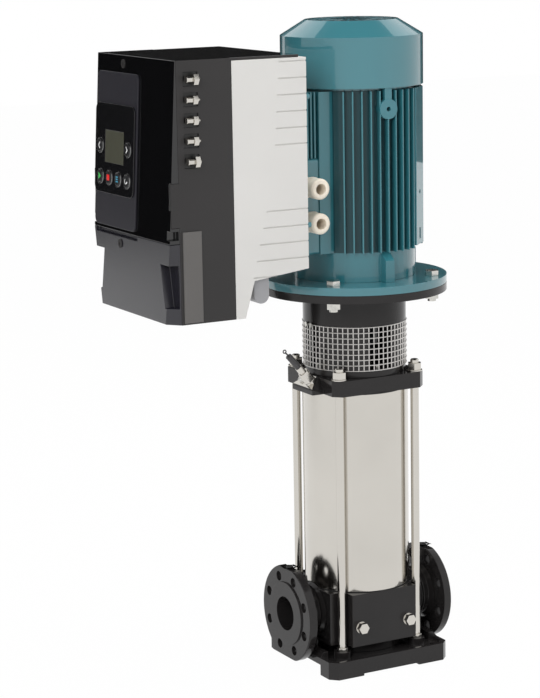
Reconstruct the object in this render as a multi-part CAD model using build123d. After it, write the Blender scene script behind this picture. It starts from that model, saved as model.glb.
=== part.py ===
from build123d import *
from math import atan2, cos, degrees, hypot, radians, sin
import os

# Vertical multistage in-line pump with a flanged motor and a motor-mounted inverter.
# Millimetres. The origin is the shaft axis at the underside of the base and +Z is up.
# The pipe axis runs along X with the suction port at -X, where the inverter also hangs.

# ---- fits ------------------------------------------------------------------------
press_gap = 0.05        # radial gap of a piece that is pressed or glued home
running_gap = 0.05      # radial gap of a shaft in its bush or bearing
free_gap = 0.5          # radial gap of a turning piece inside a fixed one
thread_gap = 0.1        # radial gap of a screw in its tapped hole
hole_gap = 1.0          # radial gap of a bolt in its clearance hole

# ---- base foot -------------------------------------------------------------------
base_length = 260.0
base_width = 253.0
base_corner = 14.0
rim_height = 34.0
rim_wall = 8.0
tray_floor = 28.0
foot_arch_span = 121.0
foot_arch_height = 4.0
side_arch_span = 160.0
side_arch_height = 20.0
saddle_rise = 9.5
saddle_slope = 8.0
saddle_width = 18.0
anchor_spacing_x = 216.0
anchor_spacing_y = 208.0
anchor_hole_radius = 7.0
rod_boss_radius = 16.0
rod_boss_top = 41.0

# ---- pump casing and ports -------------------------------------------------------
casing_half = 101.0
casing_under = 49.0
casing_top = 151.0
casing_spigot_radius = 84.0
notch_edge = 70.0
notch_round = 10.0
port_height = 105.0
port_face = 160.0
port_bore_radius = 32.5
flange_radius = 92.5
flange_thickness = 19.0
raised_face_radius = 61.0
raised_face_height = 3.0
flange_pcd = 145.0
flange_hole_count = 8
flange_hole_radius = 9.0
discharge_hole_radius = 9.5
flange_foot = 18.0
flange_crown = 193.0
lug_reach = 57.0
lug_top = 60.0
neck_radius = 45.0
neck_root_radius = 54.0
neck_bead = 4.0
suction_chamber_radius = 48.0
suction_chamber_floor = 70.0
channel_inner_radius = 70.0
channel_outer_radius = 94.0
channel_floor = 140.0
spider_height = 12.0
spider_rib = 8.0
bush_wall = 3.0
bush_boss_wall = 5.0
drain_plug_x = 52.0
drain_plug_z = 87.0
plug_thread_radius = 8.0
plug_thread_length = 14.0
plug_hex = 19.0
plug_hex_height = 11.0
plug_collar_radius = 11.5
plug_collar_height = 2.5
gauge_thread_radius = 5.0
gauge_thread_length = 10.0
gauge_hex = 14.0
gauge_head_height = 4.0

# ---- tie rods and sleeve ---------------------------------------------------------
rod_offset = 82.0
rod_radius = 8.0
rod_thread_depth = 15.0
rod_stub = 7.0
lock_collar_radius = 11.0
lock_collar_height = 7.0
nut_hex = 24.0
nut_height = 13.0
washer_radius = 15.0
washer_thickness = 2.5
gasket_thickness = 1.5
sleeve_radius = 100.5
sleeve_wall = 3.0

# ---- stages ----------------------------------------------------------------------
stage_count = 5
stage_pitch = 76.6
stage_radius = 84.0
stage_wall = 2.0
stage_floor = 3.0
eye_radius = 34.0
eye_wall = 2.0
impeller_radius = 72.0
impeller_shroud = 2.5
impeller_width = 14.0
impeller_lift = 8.0
impeller_hub_radius = 19.0
impeller_hub_drop = 2.0
impeller_vanes = 6
vane_thickness = 3.0
guide_lift = 42.0
guide_plate = 3.0
guide_radius = 70.0
guide_vanes = 6
pump_shaft_radius = 12.0

# ---- head plate, seal and vent ---------------------------------------------------
head_half = 99.0
head_corner = 15.0
head_thickness = 30.0
head_spigot = 8.0
head_spigot_wall = 7.0
seal_bore_radius = 24.0
seal_seat_height = 9.0
seal_rotor_radius = 20.0
seal_face_gap = 0.1
seal_cover_radius = 44.0
seal_cover_height = 8.0
vent_boss_reach = 24.0
vent_boss_lip = 9.0
vent_boss_left = -52.7
vent_boss_right = 23.6
vent_boss_taper = 21.6
vent_plate_thickness = 1.5
vent_plate_inset = 2.0
vent_y = -30.0
vent_plug_y = 3.0
vent_collar_radius = 11.0
vent_collar_height = 6.0
vent_hex = 19.0
vent_hex_height = 22.0
vent_stem_radius = 7.0
vent_stem_height = 14.0
vent_knob_radius = 6.0
vent_knob_height = 31.0
vent_pin_radius = 1.5
vent_pin_length = 10.0
vent_ring_radius = 3.0
vent_plug_radius = 7.5
vent_plug_height = 6.0

# ---- lantern, guard and coupling -------------------------------------------------
lantern_foot_radius = 96.5
lantern_foot_bore = 62.0
lantern_foot_height = 14.0
lantern_window_height = 80.0
lantern_neck_radius = 97.5
lantern_neck_wall = 11.0
lantern_neck_height = 58.5
lantern_windows = 4
lantern_window_width = 46.0
lantern_flange_thickness = 15.0
lantern_screw_radius = 4.0
lantern_screw_circle = 78.0
guard_gap = 0.3
guard_wall = 1.2
guard_lap = 2.0
guard_columns = 36
guard_panels = 9
guard_rows = 5
guard_wire = 4.0
guard_seam = 0.6
guard_screw_radius = 2.5
coupling_radius = 42.0
coupling_length = 108.0
coupling_start = 24.0
coupling_split = 2.0
coupling_screw_radius = 4.0
coupling_screw_offset = 29.0
shaft_end_gap = 6.0

# ---- motor -----------------------------------------------------------------------
motor_flange_radius = 174.7
motor_flange_thickness = 15.0
motor_spigot_radius = 125.0
motor_spigot_height = 4.5
motor_bolt_edge = 24.7
motor_bolt_radius = 8.0
motor_bolt_head = 10.0
motor_bolt_stub = 5.0
frame_radius = 115.0
frame_wall = 10.0
frame_length = 351.0
fin_tip_radius = 130.0
fin_thickness = 3.0
fin_pitch_angle = 7.5
fin_start = 55.0
saddle_face = 116.0
saddle_half_width = 78.0
saddle_gap_angle = 50.0
pad_face = 129.0
pad_width = 52.0
pad_angle = 46.0
pad_hole_radius = 4.0
pad_hole_drop = 193.5
pad_slot_height = 20.0
eye_boss_drop = 33.5
eye_boss_radius = 18.5
eye_boss_face = 131.0
eye_hole_radius = 4.0
eye_strap_width = 15.0
rib_count = 4
rib_pitch = 7.5
rib_thickness = 3.5
rib_half_width = 74.0
gusset_width = 19.0
gusset_face = 132.0
gusset_height = 57.0
stator_bore = 60.0
stator_start = 68.5
stator_length = 170.0
winding_height = 25.0
winding_outer = 94.0
winding_inner = 66.0
rotor_gap = 0.5
motor_shaft_radius = 19.0
bearing_seat_radius = 20.0
rotor_seat_radius = 24.0
fan_seat_radius = 17.0
bearing_radius = 45.0
bearing_width = 23.0
bearing_shoulder = 5.5
bearing_housing_wall = 11.0
rear_shield_thickness = 10.0
fan_hub_radius = 30.0
fan_blades = 8
fan_blade_thickness = 3.0
fan_height = 32.0
fan_lift = 12.0
fan_tip_gap = 4.0
cover_gap = 4.5
cover_radius = 132.2
cover_wall = 2.0
cover_skirt = 92.0
cover_shoulder = 28.0
cover_crown_radius = 86.5
cover_slots = 20
cover_slot_width = 4.0
cover_slot_length = 38.0
cover_slot_circle = 58.0
cover_screw_radius = 2.5
cover_lug_width = 18.0
cover_lug_depth = 22.0
cover_lug_gap = 0.3

# ---- terminal box ----------------------------------------------------------------
terminal_half_width = 75.0
terminal_height = 176.0
terminal_wall = 5.0
gland_pitch = 63.0
gland_x = -137.0
gland_middle = 895.5
gland_hex = 36.0
gland_hex_height = 12.0
gland_body_radius = 16.0
gland_body_height = 9.0
gland_cap_radius = 19.0
gland_cap_height = 24.0
gland_hole_radius = 10.0

# ---- inverter --------------------------------------------------------------------
inverter_back = -185.0
inverter_split = -333.0
inverter_front = -440.0
inverter_half_width = 157.0
inverter_top = 1173.0
inverter_bottom = 715.0
heatsink_top = 1168.0
lid_back = -197.0
lid_half_width = 151.0
heatsink_foot = 19.0
heatsink_step = 65.0
heatsink_slant = 13.0
heatsink_run = 110.0
heatsink_wall = 6.0
heatsink_back_wall = 12.0
groove_count = 14
groove_gap = (6, 7, 8)
groove_drop = 5.0
groove_pitch = 29.0
groove_width = 2.0
groove_depth = 2.0
groove_run = 55.0
groove_growth = 2.0
groove_low_run = 84.0
groove_low_growth = 7.0
body_wall = 5.0
board_thickness = 2.0
board_gap = 0.2
board_setback = 12.0
cover_lip = 2.0
cover_lean = 17.5
cover_split = 858.0
cover_joint = 0.6
slot_height = 8.0
slot_depth = 6.0
slot_left = 150.0
slot_right = -25.0
side_notch_bottom = 865.0
side_notch_top = 880.0
side_notch_width = 12.0
lower_cover_taper = 24.0
rail_front = -435.0
rail_width = 36.0
rail_top = 878.0
rail_proud = 3.0
horn_bottom = 886.0
horn_top = 963.0
horn_reach = 16.0
horn_depth = 7.0
recess_top = 820.0
recess_bottom = 744.0
recess_upper_half = 117.0
recess_lower_half = 132.0
recess_back = 2.0
panel_left = 148.0
panel_right = -22.0
panel_bottom = 864.0
panel_top = 1142.0
panel_thickness = 3.5
panel_round = 12.0
bezel_left = 146.0
bezel_right = -17.0
bezel_bottom = 923.0
bezel_top = 1085.0
bezel_thickness = 3.0
bezel_round = 14.0
display_y = 64.5
display_z = 1008.0
display_width = 78.0
display_height = 58.0
display_depth = 2.0
display_thickness = 1.6
arrow_button_z = 1007.5
arrow_button_left = 125.0
arrow_button_right = 8.5
key_row_z = 952.0
key_row_left = 122.0
key_pitch = 37.5
key_radius = 11.5
key_clearance = 0.4
key_proud = 2.0
key_depth = 6.0
key_ring_wall = 2.0
key_ring_proud = 1.0
cover_screw_y = 46.0
cover_screw_upper_z = 1158.0
cover_screw_lower_z = 837.0
cover_screw_head = 8.0
cover_screw_proud = 1.5
post_x = -413.0
post_top_z = 1141.0
post_pitch = 35.3
post_count = 5
post_neck_radius = 5.0
post_neck_length = 10.0
post_hex = 15.0
post_hex_large = 19.0
post_hex_length = 9.0
post_dome_radius = 6.5
post_dome_length = 5.0
pocket_width = 28.0
pocket_height = 24.0
pocket_depth = 3.0
foot_tab_x = -278.0
foot_tab_radius = 15.0
foot_tab_drop = 752.0
foot_tab_near = -150.0
foot_tab_far = -120.0

# ---- levels that follow from the sizes above -------------------------------------
sleeve_bottom = casing_top + gasket_thickness
stack_length = stage_count * stage_pitch
head_bottom = casing_top + stack_length
sleeve_top = head_bottom - gasket_thickness
head_top = head_bottom + head_thickness
window_bottom = head_top + lantern_foot_height
window_top = window_bottom + lantern_window_height
lantern_flange_bottom = window_top + lantern_neck_height
motor_face = lantern_flange_bottom + lantern_flange_thickness
frame_bottom = motor_face + motor_flange_thickness
frame_top = frame_bottom + frame_length
fin_bottom = frame_bottom + fin_start
fin_top = frame_top
eye_boss_height = frame_top - eye_boss_drop
rear_shield_top = frame_top + rear_shield_thickness
cover_bottom = frame_top + cover_gap
cover_top = cover_bottom + cover_skirt + cover_shoulder
coupling_bottom = head_top + coupling_start
coupling_top = coupling_bottom + coupling_length
shaft_meeting = coupling_bottom + coupling_length / 2
lower_bearing_bottom = frame_bottom + bearing_shoulder
upper_bearing_top = frame_top - bearing_shoulder * 4
fan_bottom = rear_shield_top + fan_lift
cover_lug_face = cover_radius - cover_wall - cover_lug_gap
fan_radius = cover_lug_face - cover_lug_depth - fan_tip_gap
terminal_bottom = fin_bottom
lean_per_mm = cover_lean / (inverter_top - cover_split)
lower_front = inverter_front - cover_lip - cover_lean

motor_bolt_circle = motor_flange_radius - motor_bolt_edge

bottom_align = (Align.CENTER, Align.CENTER, Align.MIN)


# ---- small shape helpers ---------------------------------------------------------
def block(x, y, z):
    """Box between a low and a high limit on each axis."""
    centre = Pos((x[0] + x[1]) / 2, (y[0] + y[1]) / 2, (z[0] + z[1]) / 2)
    return centre * Box(x[1] - x[0], y[1] - y[0], z[1] - z[0])


def disc(radius, bottom, top, x=0.0, y=0.0):
    """Upright cylinder between two heights."""
    return Pos(x, y, bottom) * Cylinder(radius, top - bottom, align=bottom_align)


def ring(outer, inner, bottom, top, x=0.0, y=0.0):
    """Upright tube between two heights."""
    return disc(outer, bottom, top, x, y) - disc(inner, bottom, top, x, y)


def bar_x(radius, start, end, y, z):
    """Round bar along X."""
    return Pos(start, y, z) * Rot(0, 90, 0) * Cylinder(radius, end - start, align=bottom_align)


def bar_y(radius, start, end, x, z):
    """Round bar along Y."""
    return Pos(x, start, z) * Rot(-90, 0, 0) * Cylinder(radius, end - start, align=bottom_align)


def hexagon(flats, bottom, top, x=0.0, y=0.0):
    """Upright hexagonal prism, measured across its flats."""
    sketch = RegularPolygon(flats / 2, 6, major_radius=False)
    return Pos(x, y, bottom) * extrude(sketch, top - bottom)


def turned(points):
    """Solid of revolution about Z from (radius, height) points."""
    return revolve(Plane.XZ * make_face(Polyline(*points, close=True)), Axis.Z)


def swept_y(points, start, end):
    """Prism along Y from (x, z) points."""
    outline = Polyline(*[(x, start, z) for x, z in points], close=True)
    return extrude(make_face(outline), amount=end - start, dir=(0, 1, 0))


def chamfered_plate(length, width, corner, bottom, top):
    """Rectangular plate with its four upright edges cut off."""
    sketch = chamfer(Rectangle(length, width).vertices(), corner)
    return Pos(0, 0, bottom) * extrude(sketch, top - bottom)


def corners(half_x, half_y):
    """The four corner points of a rectangle about the shaft axis."""
    return [(sx * half_x, sy * half_y) for sx in (-1, 1) for sy in (-1, 1)]


def around(radius, count, first=0.0):
    """Points evenly spaced on a circle about the shaft axis."""
    angles = [radians(first + 360.0 * step / count) for step in range(count)]
    return [(radius * cos(angle), radius * sin(angle)) for angle in angles]


def group(solids):
    """Separate solids kept together in one node."""
    return Compound([solid for shape in solids for solid in shape.solids()])


# ---- base ------------------------------------------------------------------------
def base_saddle(side):
    """Raised, inward-sloping rib of the rim below a port."""
    outer = base_length / 2
    points = [(outer, rim_height), (outer - saddle_slope, rim_height + saddle_rise),
              (outer - saddle_width, rim_height + saddle_rise), (outer - saddle_width, tray_floor),
              (outer, tray_floor)]
    return swept_y([(side * x, z) for x, z in points], -side_arch_span / 2, side_arch_span / 2)


def make_base_foot():
    body = chamfered_plate(base_length, base_width, base_corner, 0, rim_height)
    inner = (base_length - 2 * rim_wall, base_width - 2 * rim_wall)
    body -= chamfered_plate(inner[0], inner[1], base_corner, tray_floor, rim_height)
    for side in (-1, 1):
        body += base_saddle(side)
    for x, y in corners(rod_offset, rod_offset):
        body += disc(rod_boss_radius, tray_floor, rod_boss_top, x, y)
        hole_floor = rod_boss_top - rod_thread_depth
        body -= disc(rod_radius + thread_gap, hole_floor, rod_boss_top, x, y)
    body -= block((-foot_arch_span / 2, foot_arch_span / 2), (-base_width, base_width), (0, foot_arch_height))
    arch = (-side_arch_span / 2, side_arch_span / 2)
    body -= block((-base_length, base_length), arch, (0, side_arch_height))
    for x, y in corners(anchor_spacing_x / 2, anchor_spacing_y / 2):
        body -= disc(anchor_hole_radius, 0, tray_floor, x, y)
    return body


# ---- pump casing -----------------------------------------------------------------
def port(side):
    """Neck and flange of one port, turned about the pipe axis."""
    back = port_face - raised_face_height - flange_thickness + raised_face_height
    rim_face = port_face - raised_face_height
    bead = neck_radius + neck_bead
    mid = (casing_half + back) / 2
    hole = flange_hole_radius if side < 0 else discharge_hole_radius
    points = [(0, casing_half - 5), (neck_root_radius, casing_half - 5), (neck_root_radius, casing_half),
              (bead, casing_half + 6), (neck_radius, casing_half + 7), (neck_radius, mid),
              (bead, mid + 1), (bead, mid + 4), (neck_radius, mid + 5), (neck_radius, back - 6),
              (neck_root_radius, back), (flange_radius, back), (flange_radius, rim_face - 1.5),
              (flange_radius - 1.5, rim_face), (raised_face_radius, rim_face),
              (raised_face_radius, port_face), (0, port_face)]
    body = turned(points)
    for x, y in around(flange_pcd / 2, flange_hole_count, 180.0 / flange_hole_count):
        body -= disc(hole, back - 1, rim_face + 1, x, y)
    body = Pos(0, 0, port_height) * Rot(0, side * 90, 0) * body
    span = sorted((side * back, side * rim_face))
    body += block(span, (0, lug_reach), (flange_foot, lug_top))
    for x, y in around(flange_pcd / 2, flange_hole_count, 180.0 / flange_hole_count):
        body -= bar_x(hole, span[0] - 1, span[1] + 1, y, port_height + x)
    reach = (-flange_radius - 1, flange_radius + 1)
    body -= block(span, reach, (0, flange_foot))
    body -= block(span, reach, (flange_crown, port_height + flange_radius + 1))
    gauge_x = side * (back + rim_face) / 2
    thread = gauge_thread_radius + thread_gap
    return body - disc(thread, flange_crown - gauge_thread_length, flange_crown, gauge_x, 0)


def casing_block():
    body = block((-casing_half, casing_half), (-casing_half, casing_half), (casing_under, casing_top))
    size = 2 * (casing_half - notch_edge)
    for x, y in corners(casing_half, casing_half):
        sketch = RectangleRounded(size, size, notch_round)
        body -= Pos(x, y, casing_under) * extrude(sketch, casing_top - casing_under)
    return body + disc(casing_spigot_radius, tray_floor, casing_under)


def bush_spider():
    """Hub and three ribs that carry the lower bush in the suction chamber."""
    bottom = casing_top - spider_height
    bush = pump_shaft_radius + running_gap + bush_wall
    hub = bush + bush_boss_wall
    body = disc(hub, bottom, casing_top)
    for step in range(3):
        rib = block((0, suction_chamber_radius + 2), (-spider_rib / 2, spider_rib / 2), (bottom, casing_top))
        body += Rot(0, 0, 60 + 120 * step) * rib
    return body - disc(bush + press_gap, bottom, casing_top)


def make_pump_casing():
    body = casing_block() + port(-1) + port(1)
    body -= disc(sleeve_radius + hole_gap, casing_top, flange_crown)
    body -= disc(suction_chamber_radius, suction_chamber_floor, casing_top)
    body -= bar_x(port_bore_radius, -port_face, 0, 0, port_height)
    body -= bar_x(port_bore_radius, channel_inner_radius, port_face, 0, port_height)
    body -= ring(channel_outer_radius, channel_inner_radius, channel_floor, casing_top)
    riser = (channel_inner_radius, channel_outer_radius - 2)
    body -= block(riser, (-port_bore_radius + 6, port_bore_radius - 6), (port_height, casing_top))
    for side in (-1, 1):
        tapping = bar_y(plug_thread_radius + thread_gap, -casing_half, plug_thread_length - casing_half,
                        side * drain_plug_x, drain_plug_z)
        body -= tapping
    return body + bush_spider()


def upright_plug(thread, thread_length, flats, collar, height):
    """Hexagon plug standing on z = 0 with its thread below."""
    body = disc(thread, -thread_length, 0) + disc(collar, 0, plug_collar_height)
    head = hexagon(flats, plug_collar_height, plug_collar_height + height)
    return body + head


def make_casing_plugs():
    drain = upright_plug(plug_thread_radius, plug_thread_length - 1, plug_hex, plug_collar_radius,
                         plug_hex_height)
    gauge = upright_plug(gauge_thread_radius, gauge_thread_length - 1, gauge_hex, gauge_hex / 2,
                         gauge_head_height - plug_collar_height)
    gauge_x = port_face - (flange_thickness + raised_face_height) / 2
    plugs = []
    for side in (-1, 1):
        plugs.append(Pos(side * drain_plug_x, -casing_half, drain_plug_z) * Rot(90, 0, 0) * drain)
        plugs.append(Pos(side * gauge_x, 0, flange_crown) * gauge)
    return group(plugs)


# ---- tie rods, sleeve and stages -------------------------------------------------
def rod_top():
    return head_top + washer_thickness + nut_height + rod_stub


def make_tie_rods():
    bottom = rod_boss_top - rod_thread_depth + 1
    rods = [disc(rod_radius, bottom, rod_top(), x, y) for x, y in corners(rod_offset, rod_offset)]
    return group([chamfer(rod.edges().group_by(Axis.Z)[-1], 1.5) for rod in rods])


def make_rod_nuts():
    hole = rod_radius + thread_gap
    washer_top = head_top + washer_thickness
    pieces = []
    for x, y in corners(rod_offset, rod_offset):
        pieces.append(ring(lock_collar_radius, hole, rod_boss_top, rod_boss_top + lock_collar_height, x, y))
        pieces.append(ring(washer_radius, hole, head_top, washer_top, x, y))
        nut = hexagon(nut_hex, washer_top, washer_top + nut_height, x, y)
        pieces.append(nut - disc(hole, washer_top, washer_top + nut_height, x, y))
    return group(pieces)


def make_outer_sleeve():
    return ring(sleeve_radius, sleeve_radius - sleeve_wall, sleeve_bottom, sleeve_top)


def make_sleeve_gaskets():
    inner = sleeve_radius - sleeve_wall
    lower = ring(sleeve_radius, inner, casing_top, sleeve_bottom)
    return group([lower, ring(sleeve_radius, inner, sleeve_top, head_bottom)])


def make_stage_casing():
    """One stage cup: floor with the eye hole, wall, guide plate and return vanes."""
    body = ring(stage_radius, stage_radius - stage_wall, 0, stage_pitch)
    body += ring(stage_radius - 1, eye_radius + eye_wall + free_gap, 0, stage_floor)
    hub_hole = impeller_hub_radius + free_gap
    for step in range(guide_vanes):
        vane = block((hub_hole + 6, stage_radius - 1), (-1, 1), (guide_lift, stage_pitch - 6))
        body += Rot(0, 0, 360.0 * step / guide_vanes) * vane
    return body + ring(guide_radius, hub_hole, guide_lift, guide_lift + guide_plate)


def curved_vane(inner, outer, bottom, top):
    """Backward-swept vane between two radii, bent along an arc."""
    start = Vector(inner, 0)
    middle = Vector(inner + (outer - inner) * 0.45, -(outer - inner) * 0.12)
    end = Vector(outer * cos(radians(38)), -outer * sin(radians(38)))
    path = ThreePointArc(start, middle, end)
    sketch = trace(path, vane_thickness)
    return Pos(0, 0, bottom) * extrude(sketch, top - bottom)


def make_impeller():
    """Closed impeller with its eye at the bottom and a long hub that spaces the stages."""
    floor = impeller_lift
    top = impeller_lift + impeller_width
    body = ring(impeller_radius, eye_radius, floor, floor + impeller_shroud)
    body += ring(eye_radius + eye_wall, eye_radius, stage_floor - 1, floor + impeller_shroud)
    body += disc(impeller_radius, top - impeller_shroud, top)
    for step in range(impeller_vanes):
        vane = curved_vane(impeller_hub_radius + 9, impeller_radius - 2, floor + 1, top - 1)
        body += Rot(0, 0, 360.0 * step / impeller_vanes) * vane
    body += disc(impeller_hub_radius, floor - impeller_hub_drop, stage_pitch + floor - impeller_hub_drop)
    return body - disc(pump_shaft_radius + press_gap, 0, 2 * stage_pitch)


def stacked(piece):
    """One copy of a stage piece for each stage."""
    return group([Pos(0, 0, casing_top + stage_pitch * step) * piece for step in range(stage_count)])


def make_pump_shaft():
    bottom = casing_top - spider_height + 1
    shaft = disc(pump_shaft_radius, bottom, shaft_meeting - shaft_end_gap / 2)
    return chamfer(shaft.edges().filter_by(GeomType.CIRCLE), 1.0)


def make_bearing_bush():
    inner = pump_shaft_radius + running_gap
    return ring(inner + bush_wall, inner, casing_top - spider_height, casing_top)


# ---- head plate, seal and vent ---------------------------------------------------
def make_head_plate():
    body = chamfered_plate(2 * head_half, 2 * head_half, head_corner, head_bottom, head_top)
    spigot = sleeve_radius - sleeve_wall - 0.2
    body += ring(spigot, spigot - head_spigot_wall, head_bottom - head_spigot, head_bottom)
    body += vent_boss()
    body -= disc(seal_bore_radius, head_bottom, head_top)
    for x, y in corners(rod_offset, rod_offset):
        body -= disc(rod_radius + hole_gap, head_bottom, head_top, x, y)
    for x, y in around(lantern_screw_circle, 4):
        body -= disc(lantern_screw_radius + thread_gap, head_top - 16, head_top, x, y)
    for x, y in around(seal_cover_radius - 7, 3, 30):
        body -= disc(2.5 + thread_gap, head_top - 12, head_top, x, y)
    for y in (vent_y, vent_plug_y):
        body -= vent_place(y) * disc(vent_stem_radius - 1 + thread_gap, -9, 1)
    return body


def vent_boss():
    """Sloping boss beside the head plate, narrower at its top."""
    left, right = vent_boss_left, vent_boss_right
    low, lip = head_bottom, head_bottom + vent_boss_lip
    reach = -head_half - vent_boss_reach
    side_view = [(-head_half, low), (reach, low), (reach, lip), (-head_half, head_top)]
    front = [(left, low), (right, low), (right, lip), (right - vent_boss_taper, head_top),
             (left + vent_boss_taper, head_top), (left, lip)]
    outline = Polyline(*[(reach, y, z) for y, z in front], close=True)
    return swept_y(side_view, left, right) & extrude(make_face(outline), amount=vent_boss_reach, dir=(1, 0, 0))


def vent_slope():
    """Rise and length of the sloping face of the vent boss."""
    rise = head_thickness - vent_boss_lip
    return rise, hypot(rise, vent_boss_reach)


def vent_place(y, lift=0.0):
    """Location on the sloping face of the vent boss, with its own Z along the valve."""
    rise = vent_slope()[0]
    middle = Pos(-head_half - vent_boss_reach / 2, y, head_bottom + vent_boss_lip + rise / 2)
    return middle * Rot(0, -degrees(atan2(rise, vent_boss_reach)), 0) * Pos(0, 0, lift)


def make_vent_plate():
    """Bright plate on the vent boss, held by the valve and the plug."""
    half = vent_slope()[1] / 2 - vent_plate_inset
    left, right = vent_boss_left + vent_plate_inset, vent_boss_right - vent_plate_inset
    taper = vent_boss_taper
    outline = Polyline((-half, left, 0), (-half, right, 0), (half, right - taper, 0), (half, left + taper, 0),
                       close=True)
    plate = vent_place(0) * extrude(make_face(outline), amount=vent_plate_thickness, dir=(0, 0, 1))
    for y in (vent_y, vent_plug_y):
        plate -= vent_place(y) * disc(vent_stem_radius - 1 + thread_gap, -1, vent_plate_thickness + 1)
    return plate


def vent_levels():
    """Heights along the valve where its hexagon, its stem and its knob begin."""
    stem = vent_collar_height + vent_hex_height
    return vent_collar_height, stem, stem + vent_stem_height


def make_vent_body():
    thread = vent_stem_radius - 1
    hexagon_low, stem_low, knob_low = vent_levels()
    body = disc(thread, -8, 0) + disc(vent_collar_radius, 0, hexagon_low)
    body += hexagon(vent_hex, hexagon_low, stem_low) + disc(vent_stem_radius, stem_low, knob_low)
    bore = vent_pin_radius + running_gap
    return vent_place(vent_y, vent_plate_thickness) * (body - disc(bore, -8, knob_low))


def make_vent_knob():
    """Turning knob of the vent valve with its spindle and the small ring on top."""
    base = vent_levels()[2]
    top = base + vent_knob_height
    knob = disc(vent_knob_radius, base + 0.3, top)
    for x, y in around(vent_knob_radius + 0.6, 8):
        knob -= disc(1.2, base, top, x, y)
    knob += disc(vent_pin_radius, 2, top + vent_pin_length)
    eye = Pos(0, 0, top + vent_pin_length + vent_ring_radius - 1) * Rot(90, 0, 0)
    knob += eye * Torus(vent_ring_radius, 1.1)
    return vent_place(vent_y, vent_plate_thickness) * knob


def make_vent_plug():
    body = disc(vent_stem_radius - 1, -8, 0) + disc(vent_plug_radius, 0, vent_plug_height)
    body = fillet(body.edges().group_by(Axis.Z)[-1], 1.5)
    return vent_place(vent_plug_y, vent_plate_thickness) * body


def make_seal_cover():
    bore = pump_shaft_radius + free_gap
    body = ring(seal_cover_radius, bore, head_top, head_top + seal_cover_height)
    for x, y in around(seal_cover_radius - 7, 3, 30):
        body += hexagon(8, head_top + seal_cover_height, head_top + seal_cover_height + 3.5, x, y)
        body += disc(2.5, head_top - 11, head_top, x, y)
    return body


def make_seal_seat():
    outer = seal_bore_radius - press_gap
    return ring(outer, pump_shaft_radius + free_gap, head_top - seal_seat_height, head_top)


def make_seal_rotor():
    top = head_top - seal_seat_height - seal_face_gap
    bottom = head_bottom + impeller_lift - impeller_hub_drop
    inner = pump_shaft_radius + press_gap
    body = ring(seal_rotor_radius, inner, top - 5, top)
    body += ring(seal_rotor_radius - 4, inner, bottom, top - 5)
    coil = (top - 5 - bottom) / 7
    for step in range(3):
        low = bottom + coil * (2 * step + 1)
        body += ring(seal_rotor_radius - 1, inner, low, low + coil)
    return body


# ---- lantern, guard and coupling -------------------------------------------------
def make_lantern():
    """Windowed neck on the head plate and the motor's seat welded on top of it."""
    body = ring(lantern_foot_radius, lantern_foot_bore, head_top, window_bottom)
    inner = lantern_neck_radius - lantern_neck_wall
    body += ring(lantern_neck_radius, inner, window_top, lantern_flange_bottom)
    flange = ring(motor_flange_radius, inner, lantern_flange_bottom, motor_face)
    half = lantern_window_width / 2
    wall = ring(lantern_foot_radius, inner, window_bottom - 1, window_top + 1)
    for step in range(lantern_windows):
        window = block((0, lantern_neck_radius), (-half, half), (window_bottom, window_top))
        wall -= Rot(0, 0, 360.0 * step / lantern_windows) * window
    body += wall
    spigot = motor_spigot_radius + press_gap
    flange -= disc(spigot, motor_face - motor_spigot_height - 0.5, motor_face)
    for x, y in around(motor_bolt_circle, 4, 45):
        flange -= disc(motor_bolt_radius + hole_gap, lantern_flange_bottom, motor_face, x, y)
    for x, y in around(lantern_screw_circle, 4):
        body -= disc(lantern_screw_radius + hole_gap / 2, head_top, window_bottom, x, y)
    return group([body, flange])


def make_lantern_screws():
    screws = []
    for x, y in around(lantern_screw_circle, 4):
        head = hexagon(13, window_bottom, window_bottom + 6, x, y)
        screws.append(disc(lantern_screw_radius, head_top - 15, window_bottom, x, y) + head)
    return group(screws)


def guard_half(side):
    """Half of the perforated coupling guard, in flat-ended panels; side -1 faces -Y and 1 faces +Y."""
    inner = lantern_neck_radius + guard_gap
    outer = inner + guard_wall
    bottom = window_bottom - guard_lap
    top = window_top + guard_lap
    cell = (top - bottom - guard_wire) / guard_rows
    width = 2 * outer * sin(radians(180.0 / guard_columns)) - guard_wire
    across = guard_columns // 2 // guard_panels
    panel_angle = 180.0 / guard_panels
    limits = sorted((side * guard_seam / 2, side * 2 * outer))
    half = block((-2 * outer, 2 * outer), limits, (bottom, top))
    panels = []
    for panel in range(guard_panels):
        first = panel * panel_angle
        start, end = radians(first), radians(first + panel_angle)
        reach = 2 * outer
        wedge = Polyline((0, 0, 0), (reach * cos(start), side * reach * sin(start), 0),
                         (reach * cos(end), side * reach * sin(end), 0), close=True)
        sector = Pos(0, 0, bottom) * extrude(make_face(wedge), amount=top - bottom, dir=(0, 0, 1))
        shell = ring(outer, inner, bottom, top) & sector & half
        windows = []
        for column in range(across):
            angle = side * (first + (column + 0.5) * 360.0 / guard_columns)
            for row in range(guard_rows):
                low = bottom + guard_wire + row * cell
                window = block((inner - 2, outer + 2), (-width / 2, width / 2), (low, low + cell - guard_wire))
                windows.append(Rot(0, 0, angle) * window)
        panels.append(shell - windows)
    return group(panels)


def make_guard_screws():
    """Screws that hold the guard halves to the lantern, beside each seam."""
    inner = lantern_neck_radius - 5
    outer = lantern_neck_radius + guard_gap + guard_wall
    level = window_top + guard_lap - guard_wire / 2
    screws = []
    for angle in (5.0, 175.0, 185.0, 355.0):
        head = bar_x(guard_screw_radius + 2, outer, outer + 2, 0, level)
        screws.append(Rot(0, 0, angle) * head)
    return group(screws)


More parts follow.
